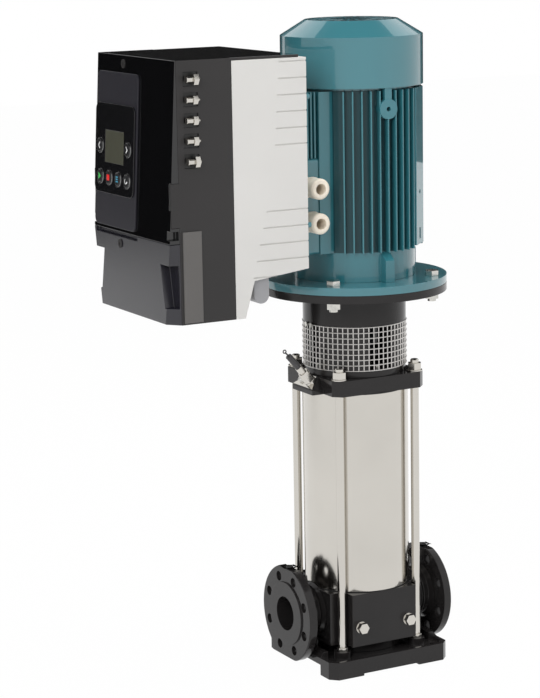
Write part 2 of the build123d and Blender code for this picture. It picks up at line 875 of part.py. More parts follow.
def coupling_half(side):
    """Half of the split coupling that clamps both shaft ends; side is its Y direction."""
    body = disc(coupling_radius, coupling_bottom, coupling_top)
    edges = body.edges().filter_by(GeomType.CIRCLE)
    body = chamfer(edges, 2.0)
    body -= disc(pump_shaft_radius + press_gap, coupling_bottom, shaft_meeting)
    body -= disc(motor_shaft_radius + press_gap, shaft_meeting, coupling_top)
    limits = sorted((side * coupling_split / 2, side * 2 * coupling_radius))
    body = body & block((-coupling_radius, coupling_radius), limits, (coupling_bottom, coupling_top))
    for x, z in coupling_screw_places():
        body -= bar_y(coupling_screw_radius + hole_gap / 2, -coupling_radius, coupling_radius, x, z)
        seat = sorted((side * (coupling_radius - 16), side * coupling_radius))
        body -= block((x - 8, x + 8), seat, (z - 8, z + 8))
    return body


def coupling_screw_places():
    levels = (coupling_bottom + 18, coupling_top - 18)
    return [(x, z) for x in (-coupling_screw_offset, coupling_screw_offset) for z in levels]


def make_coupling_screws():
    seat = coupling_radius - 16
    screws = []
    for x, z in coupling_screw_places():
        shank = bar_y(coupling_screw_radius, -seat, seat, x, z)
        head = bar_y(coupling_screw_radius + 2.5, -seat - 7, -seat, x, z)
        nut = Pos(x, seat, z) * Rot(-90, 0, 0) * hexagon(13, 0, 6)
        screws.append(shank + head + nut)
    return group(screws)


# ---- motor -----------------------------------------------------------------------
def make_motor_flange():
    """Drive-end shield: mounting flange, spigots and the lower bearing housing."""
    body = disc(motor_flange_radius, motor_face, frame_bottom)
    body += ring(motor_spigot_radius, motor_spigot_radius - 10, motor_face - motor_spigot_height, motor_face)
    frame_bore = frame_radius - frame_wall
    body += ring(frame_bore - press_gap, frame_bore - 8, frame_bottom, frame_bottom + 10)
    housing = bearing_radius + bearing_housing_wall
    body += disc(housing, frame_bottom, lower_bearing_bottom + bearing_width)
    body -= disc(bearing_radius + press_gap, lower_bearing_bottom, lower_bearing_bottom + bearing_width)
    body -= disc(bearing_seat_radius + 6, motor_face, lower_bearing_bottom)
    for x, y in around(motor_bolt_circle, 4, 45):
        body -= disc(motor_bolt_radius + hole_gap, motor_face, frame_bottom, x, y)
    return body


def make_flange_bolts():
    bottom = lantern_flange_bottom - nut_height - motor_bolt_stub
    bolts = []
    for x, y in around(motor_bolt_circle, 4, 45):
        head = hexagon(nut_hex, frame_bottom, frame_bottom + motor_bolt_head, x, y)
        bolts.append(disc(motor_bolt_radius, bottom, frame_bottom, x, y) + head)
    return group(bolts)


def make_flange_nuts():
    low = lantern_flange_bottom - nut_height
    nuts = []
    for x, y in around(motor_bolt_circle, 4, 45):
        nut = hexagon(nut_hex, low, lantern_flange_bottom, x, y)
        nuts.append(nut - disc(motor_bolt_radius + thread_gap, low, lantern_flange_bottom, x, y))
    return group(nuts)


def fin_angles():
    """Fin directions, leaving the terminal side and the two foot pads clear."""
    count = round(360 / fin_pitch_angle)
    angles = [fin_pitch_angle * step - 180 for step in range(count)]
    pad_half = degrees(pad_width / 2 / pad_face) + 1.5
    clear = [a for a in angles if abs(a) < 180 - saddle_gap_angle]
    return [a for a in clear if abs(abs(a) - pad_angle) > pad_half]


def frame_gusset(angle):
    """Screw lug between the plain end of the frame and the flange, with a sloping top."""
    slope = gusset_face - frame_radius
    top = frame_bottom + gusset_height
    points = [(frame_radius - 3, frame_bottom), (gusset_face, frame_bottom), (gusset_face, top - slope),
              (frame_radius - 3, top)]
    return Rot(0, 0, angle) * swept_y(points, -gusset_width / 2, gusset_width / 2)


def terminal_ribs():
    """Comb of upright ribs on the terminal side, above the terminal box."""
    level = (terminal_bottom + terminal_height, fin_top)
    web = (-rib_thickness / 2, rib_thickness / 2)
    body = block((-saddle_face - rib_pitch * rib_count, -saddle_face), web, level)
    for step in range(1, rib_count + 1):
        x = -saddle_face - rib_pitch * step
        body += block((x, x + rib_thickness), (-rib_half_width, rib_half_width), level)
    return body


def make_motor_frame():
    bore = frame_radius - frame_wall
    body = disc(frame_radius, frame_bottom, frame_top)
    body += block((-saddle_face, 0), (-saddle_half_width, saddle_half_width), (fin_bottom, frame_top))
    fins = []
    for angle in fin_angles():
        fin = block((bore + 2, fin_tip_radius), (-fin_thickness / 2, fin_thickness / 2), (fin_bottom, fin_top))
        fins.append(Rot(0, 0, angle) * fin)
    for angle in (-pad_angle, pad_angle):
        pad = block((bore + 2, pad_face), (-pad_width / 2, pad_width / 2), (fin_bottom + 5, fin_top))
        fins.append(Rot(0, 0, angle) * pad)
    fins += [frame_gusset(angle) for angle in (-90, 0, 90)]
    body += fins
    body += bar_y(eye_boss_radius, -eye_boss_face, -bore - 2, 0, eye_boss_height)
    strap = (-eye_strap_width / 2, eye_strap_width / 2)
    body += block(strap, (-fin_tip_radius, -bore - 2), (eye_boss_height, cover_bottom))
    body -= bar_y(eye_hole_radius, -eye_boss_face, -eye_boss_face + 14, 0, eye_boss_height)
    body -= disc(frame_radius + press_gap, frame_top, cover_bottom)
    for angle in (-pad_angle, pad_angle):
        hole = bar_x(pad_hole_radius, pad_face - 10, pad_face + 1, 0, frame_top - pad_hole_drop)
        low = fin_bottom + 15
        slot = block((pad_face - 5, pad_face + 1), (-pad_hole_radius, pad_hole_radius), (low, low + pad_slot_height))
        body -= Rot(0, 0, angle) * (hole + slot)
    return group([body - disc(bore, frame_bottom, frame_top), terminal_ribs()])


def make_stator_core():
    bottom = frame_bottom + stator_start
    return ring(frame_radius - frame_wall - press_gap, stator_bore, bottom, bottom + stator_length)


def make_stator_windings():
    bottom = frame_bottom + stator_start
    middle = (winding_outer + winding_inner) / 2
    half = (winding_outer - winding_inner) / 2
    coils = []
    for low in (bottom - winding_height, bottom + stator_length):
        coil = ring(middle + half, middle - half, low, low + winding_height)
        coils.append(chamfer(coil.edges().filter_by(GeomType.CIRCLE), 5))
    return group(coils)


def make_motor_rotor():
    bottom = frame_bottom + stator_start
    body = disc(stator_bore - rotor_gap, bottom, bottom + stator_length)
    body += disc(stator_bore - 12, bottom - 8, bottom + stator_length + 8)
    return body - disc(rotor_seat_radius + press_gap, bottom - 8, bottom + stator_length + 8)


def make_motor_shaft():
    lower = lower_bearing_bottom + bearing_width
    upper = upper_bearing_top - bearing_width
    end = fan_bottom + fan_height + 4
    points = [(0, shaft_meeting + shaft_end_gap / 2), (motor_shaft_radius, shaft_meeting + shaft_end_gap / 2),
              (motor_shaft_radius, lower_bearing_bottom - 4), (bearing_seat_radius, lower_bearing_bottom - 4),
              (bearing_seat_radius, lower), (rotor_seat_radius, lower + 1), (rotor_seat_radius, upper - 1),
              (bearing_seat_radius, upper), (bearing_seat_radius, upper_bearing_top + 2),
              (fan_seat_radius, upper_bearing_top + 2), (fan_seat_radius, end), (0, end)]
    return turned(points)


def make_motor_bearings():
    inner = bearing_seat_radius + running_gap
    lower = ring(bearing_radius, inner, lower_bearing_bottom, lower_bearing_bottom + bearing_width)
    return group([lower, ring(bearing_radius, inner, upper_bearing_top - bearing_width, upper_bearing_top)])


def make_rear_shield():
    """Non-drive shield with the upper bearing housing and the lugs of the fan cover."""
    bore = frame_radius - frame_wall
    body = disc(frame_radius, frame_top, rear_shield_top)
    body += ring(bore - press_gap, bore - 8, frame_top - 10, frame_top)
    housing = bearing_radius + bearing_housing_wall
    body += disc(housing, upper_bearing_top - bearing_width, frame_top)
    body -= disc(bearing_radius + press_gap, upper_bearing_top - bearing_width, upper_bearing_top)
    body -= disc(bearing_seat_radius + 2, upper_bearing_top, rear_shield_top)
    half = cover_lug_width / 2
    top = cover_bottom + 20
    round_face = disc(cover_lug_face, frame_top, top)
    for angle in (0, 90, 180):
        reach = (cover_lug_face - cover_lug_depth, cover_lug_face)
        lug = block(reach, (-half, half), (rear_shield_top, top))
        body += Rot(0, 0, angle) * lug & round_face
        hole = (cover_lug_face - 12, cover_lug_face + 1)
        screw_hole = bar_x(cover_screw_radius + thread_gap, hole[0], hole[1], 0, cover_bottom + 10)
        body -= Rot(0, 0, angle) * screw_hole
    return body


def make_cooling_fan():
    body = disc(fan_hub_radius, fan_bottom, fan_bottom + fan_height)
    body += disc(fan_radius - 12, fan_bottom + fan_height - 3, fan_bottom + fan_height)
    for step in range(fan_blades):
        thickness = (-fan_blade_thickness / 2, fan_blade_thickness / 2)
        blade = block((fan_hub_radius - 2, fan_radius), thickness, (fan_bottom, fan_bottom + fan_height))
        body += Rot(0, 0, 360.0 * step / fan_blades) * blade
    return body - disc(fan_seat_radius + press_gap, fan_bottom, fan_bottom + fan_height)


def make_fan_cover():
    """Turned sheet hood with a conical shoulder and a ring of air slots in its crown."""
    shoulder = cover_bottom + cover_skirt
    inner = cover_radius - cover_wall
    points = [(cover_radius, cover_bottom), (cover_radius, shoulder), (cover_crown_radius, cover_top),
              (0, cover_top), (0, cover_top - cover_wall), (cover_crown_radius - 1, cover_top - cover_wall),
              (inner, shoulder - 1), (inner, cover_bottom)]
    body = turned(points)
    slots = []
    start = cover_slot_circle - cover_slot_length / 2
    for step in range(cover_slots):
        width = (-cover_slot_width / 2, cover_slot_width / 2)
        slot = block((start, start + cover_slot_length), width, (cover_top - 5, cover_top + 1))
        slots.append(Rot(0, 0, 360.0 * step / cover_slots) * slot)
    body -= slots
    for angle in (0, 90, 180):
        hole = bar_x(cover_screw_radius + hole_gap / 2, inner - 2, cover_radius + 2, 0, cover_bottom + 10)
        body -= Rot(0, 0, angle) * hole
    return body


def make_fan_cover_screws():
    screws = []
    for angle in (0, 90, 180):
        shank = bar_x(cover_screw_radius, cover_radius - cover_wall - 11, cover_radius, 0, cover_bottom + 10)
        head = bar_x(cover_screw_radius + 2.5, cover_radius, cover_radius + 2.5, 0, cover_bottom + 10)
        screws.append(Rot(0, 0, angle) * (shank + head))
    return group(screws)


# ---- terminal box ----------------------------------------------------------------
def gland_places():
    half = gland_pitch / 2
    return [(gland_x, gland_middle - half), (gland_x, gland_middle + half)]


def make_terminal_box():
    top = terminal_bottom + terminal_height
    half = terminal_half_width
    body = block((inverter_back, -saddle_face), (-half, half), (terminal_bottom, top))
    body = fillet(body.edges().filter_by(Axis.X), 6)
    inner = half - terminal_wall
    body -= block((inverter_back, -saddle_face - terminal_wall), (-inner, inner),
                  (terminal_bottom + terminal_wall, top - terminal_wall))
    for x, z in gland_places():
        body -= bar_y(gland_hole_radius + 1, -half, -inner, x, z)
    return body


def make_cable_glands():
    glands = []
    hex_top = gland_hex_height
    cap_bottom = hex_top + gland_body_height
    cap_top = cap_bottom + gland_cap_height
    for x, z in gland_places():
        body = hexagon(gland_hex, 0, hex_top) + disc(gland_body_radius, hex_top, cap_bottom)
        cap = disc(gland_cap_radius, cap_bottom, cap_top)
        body += chamfer(cap.edges().group_by(Axis.Z)[-1], 3)
        body -= disc(gland_hole_radius, 0, cap_top)
        glands.append(Pos(x, -terminal_half_width, z) * Rot(90, 0, 0) * body)
    return group(glands)


# ---- inverter --------------------------------------------------------------------
def heatsink_outline(inset):
    """Side outline of the light rear housing, or of its cavity when inset is positive."""
    corner = inverter_split + heatsink_foot
    step_x = inverter_back - heatsink_run
    slant_z = inverter_bottom + heatsink_step
    back = inverter_back - (heatsink_back_wall if inset else 0)
    low = inverter_bottom + inset
    return [(inverter_split, heatsink_top - inset), (back, heatsink_top - inset),
            (back, slant_z + heatsink_slant + inset), (step_x - inset / 2, slant_z + inset),
            (corner - inset, low), (inverter_split, low)]


def make_inverter_heatsink():
    half = inverter_half_width
    body = swept_y(heatsink_outline(0), -half, half)
    body -= swept_y(heatsink_outline(heatsink_wall), -half + heatsink_wall, half - heatsink_wall)
    grooves = []
    for step in range(groove_count):
        if step in groove_gap:
            continue
        z = heatsink_top - groove_drop - groove_pitch * step
        length = groove_run + groove_growth * step
        if step > max(groove_gap):
            length = groove_low_run + groove_low_growth * (step - max(groove_gap) - 1)
        run = (inverter_back - length, inverter_back)
        level = (z - groove_width, z)
        grooves.append(block(run, (-half, groove_depth - half), level))
        grooves.append(block(run, (half - groove_depth, half), level))
    return body - grooves


def post_places():
    return [(post_x, post_top_z - post_pitch * step) for step in range(post_count)]


def make_inverter_body():
    """Dark middle housing: a rectangular tube with the side rail, horns and pockets."""
    half = inverter_half_width
    height = (inverter_bottom, inverter_top)
    body = block((inverter_front, inverter_split), (-half, half), height)
    for side in (-1, 1):
        rail = sorted((side * (half - 1), side * (half + rail_proud)))
        body += block((rail_front, rail_front + rail_width), rail, (inverter_bottom + 3, rail_top))
        horn = sorted((side * (half - horn_depth), side * half))
        body += block((inverter_front - horn_reach, inverter_front), horn, (horn_bottom, horn_top))
    inner = half - body_wall
    body -= block((inverter_front, inverter_split), (-inner, inner),
                  (inverter_bottom + body_wall, inverter_top - body_wall))
    body += block((inverter_split, lid_back), (-lid_half_width, lid_half_width), (heatsink_top, inverter_top))
    for x, z in post_places():
        pocket = (x - pocket_width / 2, x + pocket_width / 2)
        body -= block(pocket, (-half, pocket_depth - half), (z - pocket_height / 2, z + pocket_height / 2))
    return body


def make_side_posts():
    posts = []
    for step, (x, z) in enumerate(post_places()):
        flats = post_hex_large if step in (0, post_count - 1) else post_hex
        body = disc(post_neck_radius, 0, pocket_depth + post_neck_length)
        start = pocket_depth + post_neck_length
        end = start + post_hex_length
        dome = disc(post_dome_radius, end, end + post_dome_length)
        body += hexagon(flats, start, end) + fillet(dome.edges().group_by(Axis.Z)[-1], 3)
        posts.append(Pos(x, pocket_depth - inverter_half_width, z) * Rot(90, 0, 0) * body)
    return group(posts)


def make_circuit_board():
    inner = inverter_half_width - body_wall - board_gap
    x = inverter_split - board_setback
    low = inverter_bottom + body_wall + board_gap
    high = inverter_top - body_wall - board_gap
    board = block((x - board_thickness, x), (-inner, inner), (low, high))
    for share in (0.3, 0.52, 0.74):
        z = low + (high - low) * share
        board += block((x - board_thickness - 30, x - board_thickness), (-60, 60), (z, z + 40))
    return board


def make_upper_cover():
    """Glossy front cover that leans outward as it goes down."""
    half = inverter_half_width
    outline = [(inverter_front, inverter_top), (inverter_front - cover_lip, inverter_top),
               (lower_front, cover_split), (inverter_front, cover_split)]
    body = swept_y(outline, -half, half)
    for side in (-1, 1):
        horn = sorted((side * (half - horn_depth - board_gap), side * half))
        body -= block((inverter_front - horn_reach - board_gap, inverter_front), horn,
                      (horn_bottom - board_gap, horn_top + board_gap))
        notch = sorted((side * (half - side_notch_width), side * (half + 1)))
        body -= block((lower_front - 1, inverter_front - cover_lip), notch, (side_notch_bottom, side_notch_top))
    return body


def make_lower_cover():
    """Terminal cover whose lower corners taper away, with a grip recess on each side."""
    half = inverter_half_width
    top = cover_split - cover_joint
    upper = [(inverter_front, -half), (lower_front, -half), (lower_front, half), (inverter_front, half)]
    taper = half - lower_cover_taper
    lower = [(inverter_front, -half), (lower_front, -taper), (lower_front, taper), (inverter_front, half)]
    sections = [Pos(0, 0, top) * make_face(Polyline(*upper, close=True)),
                Pos(0, 0, inverter_bottom) * make_face(Polyline(*lower, close=True))]
    body = loft(sections, ruled=True)
    body -= block((lower_front - 1, lower_front + slot_depth), (slot_right, slot_left), (top - slot_height, top + 1))
    run = inverter_front - recess_back - lower_front + 1
    for side in (-1, 1):
        corner = [(recess_upper_half, recess_top), (half + 1, recess_top), (half + 1, recess_bottom),
                  (recess_lower_half, recess_bottom)]
        outline = Polyline(*[(lower_front - 1, side * y, z) for y, z in corner], close=True)
        body -= extrude(make_face(outline), amount=run, dir=(1, 0, 0))
    return body


def front_place(y, z, lift):
    """Location on the leaning front face, with its own Z pointing outward."""
    lean = Plane(origin=(inverter_front - cover_lip, 0, inverter_top), x_dir=(0, -1, 0),
                 z_dir=(-1, 0, lean_per_mm))
    return Location(lean) * Pos(-y, z - inverter_top, lift)


def front_plate(left, right, bottom, top, corner, low, high):
    """Rounded plate on the leaning front between two heights above it."""
    sketch = RectangleRounded(left - right, top - bottom, corner)
    return front_place((left + right) / 2, (top + bottom) / 2, low) * extrude(sketch, high - low)


def key_places():
    """Centre of each key: name, y and z."""
    places = [("button_left", arrow_button_left, arrow_button_z),
              ("button_right", arrow_button_right, arrow_button_z)]
    names = ("button_start", "button_stop", "button_menu", "button_set")
    for step, name in enumerate(names):
        places.append((name, key_row_left - key_pitch * step, key_row_z))
    return places


def key_holes(low, high):
    radius = key_radius + key_clearance
    return [front_place(y, z, 0) * disc(radius, low, high) for name, y, z in key_places()]


def make_keypad_panel():
    body = front_plate(panel_left, panel_right, panel_bottom, panel_top, panel_round, 0, panel_thickness)
    return body - key_holes(0, panel_thickness)


def make_keypad_bezel():
    low = panel_thickness
    high = panel_thickness + bezel_thickness
    body = front_plate(bezel_left, bezel_right, bezel_bottom, bezel_top, bezel_round, low, high)
    body -= key_holes(low, high)
    pocket = extrude(Rectangle(display_width, display_height), display_depth)
    return body - front_place(display_y, display_z, high - display_depth) * pocket


def make_display_window():
    gap = 2 * press_gap
    sketch = Rectangle(display_width - gap, display_height - gap)
    low = panel_thickness + bezel_thickness - display_depth
    return front_place(display_y, display_z, low) * extrude(sketch, display_thickness)


def make_key_rings():
    low = panel_thickness + bezel_thickness
    inner = key_radius + key_clearance
    rings = []
    for name, y, z in key_places():
        rings.append(front_place(y, z, low) * ring(inner + key_ring_wall, inner, 0, key_ring_proud))
    return group(rings)


def make_key(y, z):
    top = panel_thickness + bezel_thickness + key_proud
    cap = disc(key_radius, top - key_depth, top)
    return front_place(y, z, 0) * fillet(cap.edges().group_by(Axis.Z)[-1], 1.0)


def make_cover_screws():
    lower_place = Pos(lower_front, cover_screw_y, cover_screw_lower_z) * Rot(0, -90, 0)
    screws = []
    for place in (front_place(cover_screw_y, cover_screw_upper_z, 0), lower_place):
        head = disc(cover_screw_head, 0, cover_screw_proud) - hexagon(6, cover_screw_proud - 1, cover_screw_proud)
        screws.append(place * head)
    return group(screws)


def make_inverter_foot():
    span = (foot_tab_x - foot_tab_radius, foot_tab_x + foot_tab_radius)
    body = block(span, (foot_tab_near, foot_tab_far), (foot_tab_drop, foot_tab_drop + 60))
    body += bar_y(foot_tab_radius, foot_tab_near, foot_tab_far, foot_tab_x, foot_tab_drop)
    cut = swept_y(heatsink_outline(0), -inverter_half_width, inverter_half_width)
    return body - cut


# ---- the assembly ----------------------------------------------------------------
def all_parts():
    parts = {
        "base_foot": make_base_foot(),
        "pump_casing": make_pump_casing(),
        "casing_plugs": make_casing_plugs(),
        "tie_rods": make_tie_rods(),
        "rod_nuts": make_rod_nuts(),
        "outer_sleeve": make_outer_sleeve(),
        "sleeve_gaskets": make_sleeve_gaskets(),
        "stage_casings": stacked(make_stage_casing()),
        "impellers": stacked(make_impeller()),
        "pump_shaft": make_pump_shaft(),
        "bearing_bush": make_bearing_bush(),
        "head_plate": make_head_plate(),
        "vent_plate": make_vent_plate(),
        "vent_body": make_vent_body(),
        "vent_knob": make_vent_knob(),
        "vent_plug": make_vent_plug(),
        "seal_cover": make_seal_cover(),
        "seal_seat": make_seal_seat(),
        "seal_rotor": make_seal_rotor(),
        "lantern": make_lantern(),
        "lantern_screws": make_lantern_screws(),
        "guard_front": guard_half(-1),
        "guard_rear": guard_half(1),
        "guard_screws": make_guard_screws(),
        "coupling_front": coupling_half(-1),
        "coupling_rear": coupling_half(1),
        "coupling_screws": make_coupling_screws(),
        "motor_flange": make_motor_flange(),
        "flange_bolts": make_flange_bolts(),
        "flange_nuts": make_flange_nuts(),
        "motor_frame": make_motor_frame(),
        "stator_core": make_stator_core(),
        "stator_windings": make_stator_windings(),
        "motor_rotor": make_motor_rotor(),
        "motor_shaft": make_motor_shaft(),
        "motor_bearings": make_motor_bearings(),
        "rear_shield": make_rear_shield(),
        "cooling_fan": make_cooling_fan(),
        "fan_cover": make_fan_cover(),
        "fan_cover_screws": make_fan_cover_screws(),
        "terminal_box": make_terminal_box(),
        "cable_glands": make_cable_glands(),
        "inverter_heatsink": make_inverter_heatsink(),
        "inverter_body": make_inverter_body(),
        "side_posts": make_side_posts(),
        "circuit_board": make_circuit_board(),
        "upper_cover": make_upper_cover(),
        "lower_cover": make_lower_cover(),
        "keypad_panel": make_keypad_panel(),
        "keypad_bezel": make_keypad_bezel(),
        "display_window": make_display_window(),
        "key_rings": make_key_rings(),
        "cover_screws": make_cover_screws(),
        "inverter_foot": make_inverter_foot(),
    }
    for name, y, z in key_places():
        parts[name] = make_key(y, z)
    return parts


os.makedirs("parts", exist_ok=True)
for part_name, part_shape in all_parts().items():
    export_step(part_shape, f"parts/{part_name}.step")
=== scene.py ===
from math import cos, pi, radians, sin, tan

import bpy
from bpy.props import FloatProperty, FloatVectorProperty, IntProperty, PointerProperty
from mathutils import Matrix, Vector


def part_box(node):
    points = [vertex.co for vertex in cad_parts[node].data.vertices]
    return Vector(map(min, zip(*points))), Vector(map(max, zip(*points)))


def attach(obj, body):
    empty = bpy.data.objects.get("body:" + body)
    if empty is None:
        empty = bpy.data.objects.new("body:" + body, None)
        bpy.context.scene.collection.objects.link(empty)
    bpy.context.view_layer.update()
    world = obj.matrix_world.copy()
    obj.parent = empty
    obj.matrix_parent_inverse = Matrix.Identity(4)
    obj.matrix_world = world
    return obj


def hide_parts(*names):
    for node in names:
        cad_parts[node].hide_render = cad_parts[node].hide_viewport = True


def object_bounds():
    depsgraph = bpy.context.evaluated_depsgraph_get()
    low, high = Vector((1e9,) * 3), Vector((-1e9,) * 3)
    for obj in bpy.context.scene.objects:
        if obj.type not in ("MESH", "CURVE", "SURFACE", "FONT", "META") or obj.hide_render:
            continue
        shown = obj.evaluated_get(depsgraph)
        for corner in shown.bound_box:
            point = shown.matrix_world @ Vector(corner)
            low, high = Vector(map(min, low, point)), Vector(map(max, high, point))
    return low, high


bl_info = {
    "name": "Vertical Multistage Pump",
    "version": (1, 0, 0),
    "blender": (4, 5, 0),
    "location": "View3D > Sidebar > Pump",
    "description": "Finishes and fine detail for an in-line multistage pump with a motor-mounted inverter",
    "category": "Object",
}

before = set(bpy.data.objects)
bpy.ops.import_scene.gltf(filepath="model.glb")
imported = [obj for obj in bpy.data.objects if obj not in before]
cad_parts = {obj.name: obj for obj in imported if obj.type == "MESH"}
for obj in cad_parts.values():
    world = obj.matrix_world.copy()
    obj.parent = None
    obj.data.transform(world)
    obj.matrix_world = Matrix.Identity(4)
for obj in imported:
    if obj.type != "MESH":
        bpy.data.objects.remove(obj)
CAD_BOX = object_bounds()
MM = 0.001
COVER_LEAN = 17.5 / 315  # the front cover leans out by this share of its height

MERGE_DISTANCE = 0.000002  # points closer than this are one
FLAT_ANGLE = 0.3  # degrees between faces that count as one flat face
SYMBOL_THICKNESS = 0.3 * MM
SYMBOL_EDGE = 0.1 * MM

# The motor's cooling fins, in millimetres, and how dark the painted shade makes the paint at their root.
FIN_ROOT, FIN_TIP, FIN_START, SADDLE_EDGE = 115.5, 128.5, 55.0, 88.0
FIN_ROOT_PAINTED_SHADE = 0.33

# The side screws, in millimetres: start and length along X of each section, and its radius.
END_SCREW_SHARE = 1.27  # the first and the last screw are larger by this share
HEXAGON_RATIO = 1.732  # size across flats by the radius to a corner
COLLAR_START, COLLAR_LENGTH, COLLAR_RADIUS = -13, 2, 6.4
NECK_START, NECK_LENGTH, NECK_RADIUS = -11, 11, 5.3
HEXAGON_LENGTH, DOME_LENGTH = 9, 5

# The clamp screws behind the heat sink, in millimetres.
STUD_DROPS, STUD_INSET, STUD_RADIUS, STUD_LENGTH = (70, 298), 7, 5, 8

# The camera: its place and the point it faces in metres, its lens in millimetres, and its last
# turns to the right, up and about its own axis in degrees.
CAMERA_PLACE, CAMERA_TARGET = (-2.18352, -3.69937, 1.43827), (0, 0, 0.68)
CAMERA_LENS, CAMERA_SENSOR = 118.98, 36
CAMERA_RIGHT, CAMERA_UP, CAMERA_ROLL = -2.10, -1.00, -1.03

# The surroundings: their strength as a light, the floor's size in metres and its glow when seen.
WORLD_LIGHT, FLOOR_SIZE, FLOOR_GLOW = 0.36, 24, 0.985


# ---- sizes and colours -------------------------------------------------------------
class PumpSizes(bpy.types.PropertyGroup):
    casting_edge: FloatProperty(
        name="Casting edge", description="Rounding of the edges of the cast pieces",
        default=0.9 * MM, min=0.1 * MM, max=3 * MM, unit="LENGTH")
    sheet_edge: FloatProperty(
        name="Sheet edge", description="Rounding of the edges of moulded and sheet pieces",
        default=0.6 * MM, min=0.1 * MM, max=3 * MM, unit="LENGTH")
    mesh_wire: FloatProperty(
        name="Guard wire", description="Thickness of the wires of the coupling guard",
        default=2.3 * MM, min=0.5 * MM, max=4 * MM, unit="LENGTH")
    mesh_columns: IntProperty(
        name="Guard columns", description="Upright wires around the coupling guard",
        default=62, min=12, max=120)
    mesh_rows: IntProperty(
        name="Guard rows", description="Rows of openings in the coupling guard",
        default=8, min=2, max=20)
    post_flats: FloatProperty(
        name="Side screw", description="Size across flats of the small side screws",
        default=15 * MM, min=8 * MM, max=18 * MM, unit="LENGTH")
    post_pitch: FloatProperty(
        name="Side screw pitch", description="Distance between the side screws",
        default=35.3 * MM, min=20 * MM, max=50 * MM, unit="LENGTH")
    symbol_size: FloatProperty(
        name="Key symbol", description="Height of the symbols on the keys",
        default=13 * MM, min=4 * MM, max=16 * MM, unit="LENGTH")


class PumpColours(bpy.types.PropertyGroup):
    casting: FloatVectorProperty(
        name="Castings", description="Black enamel of the pump castings", subtype="COLOR",
        default=(0.018, 0.0165, 0.0165), min=0, max=1)
    motor: FloatVectorProperty(
        name="Motor", description="Blue-green paint of the motor", subtype="COLOR",
        default=(0.030, 0.165, 0.198), min=0, max=1)
    steel: FloatVectorProperty(
        name="Stainless steel", description="Tint of the sleeve, rods and fasteners", subtype="COLOR",
        default=(0.625, 0.60, 0.555), min=0, max=1)
    heatsink: FloatVectorProperty(
        name="Heat sink", description="Light paint of the rear half of the inverter", subtype="COLOR",
        default=(0.64, 0.63, 0.61), min=0, max=1)
    housing: FloatVectorProperty(
        name="Housing", description="Matt dark housing of the inverter", subtype="COLOR",
        default=(0.018, 0.0165, 0.0165), min=0, max=1)
    cover: FloatVectorProperty(
        name="Cover", description="Glossy covers of the inverter", subtype="COLOR",
        default=(0.0015, 0.0015, 0.002), min=0, max=1)
    panel: FloatVectorProperty(
        name="Panel", description="Satin keypad panel", subtype="COLOR",
        default=(0.016, 0.015, 0.021), min=0, max=1)
    display: FloatVectorProperty(
        name="Display", description="Unlit liquid-crystal window", subtype="COLOR",
        default=(0.062, 0.063, 0.043), min=0, max=1)
    gland: FloatVectorProperty(
        name="Cable glands", description="Nylon of the cable glands", subtype="COLOR",
        default=(0.88, 0.80, 0.68), min=0, max=1)


def sizes():
    return bpy.context.scene.pump_sizes


def colours():
    return bpy.context.scene.pump_colours


# ---- materials ---------------------------------------------------------------------
def shade(colour, factor):
    return tuple(min(1.0, channel * factor) for channel in colour) + (1.0,)


def wired(tree, kind, operation, *values):
    """New shader node: sockets among the values are linked to its inputs, others are set."""
    node = tree.nodes.new(kind)
    if operation:
        node.operation = operation
    for place, value in enumerate(values):
        if isinstance(value, bpy.types.NodeSocket):
            tree.links.new(value, node.inputs[place])
        else:
            node.inputs[place].default_value = value
    return node


def seen_directly(tree):
    """One for camera rays and mirror rays, zero for the light that falls on surfaces."""
    path = tree.nodes.new("ShaderNodeLightPath")
    seen = wired(tree, "ShaderNodeMath", "MAXIMUM",
                 path.outputs["Is Camera Ray"], path.outputs["Is Glossy Ray"])
    return path, seen.outputs[0]


def pattern(tree, stretch, scale, detail=4.0):
    """Noise on object coordinates, stretched along an axis where the finish has a direction."""
    place = tree.nodes.new("ShaderNodeTexCoord")
    mapping = tree.nodes.new("ShaderNodeMapping")
    noise = tree.nodes.new("ShaderNodeTexNoise")
    mapping.inputs["Scale"].default_value = stretch
    noise.inputs["Scale"].default_value = scale
    noise.inputs["Detail"].default_value = detail
    tree.links.new(place.outputs["Object"], mapping.inputs["Vector"])
    tree.links.new(mapping.outputs["Vector"], noise.inputs["Vector"])
    return noise.outputs["Fac"]


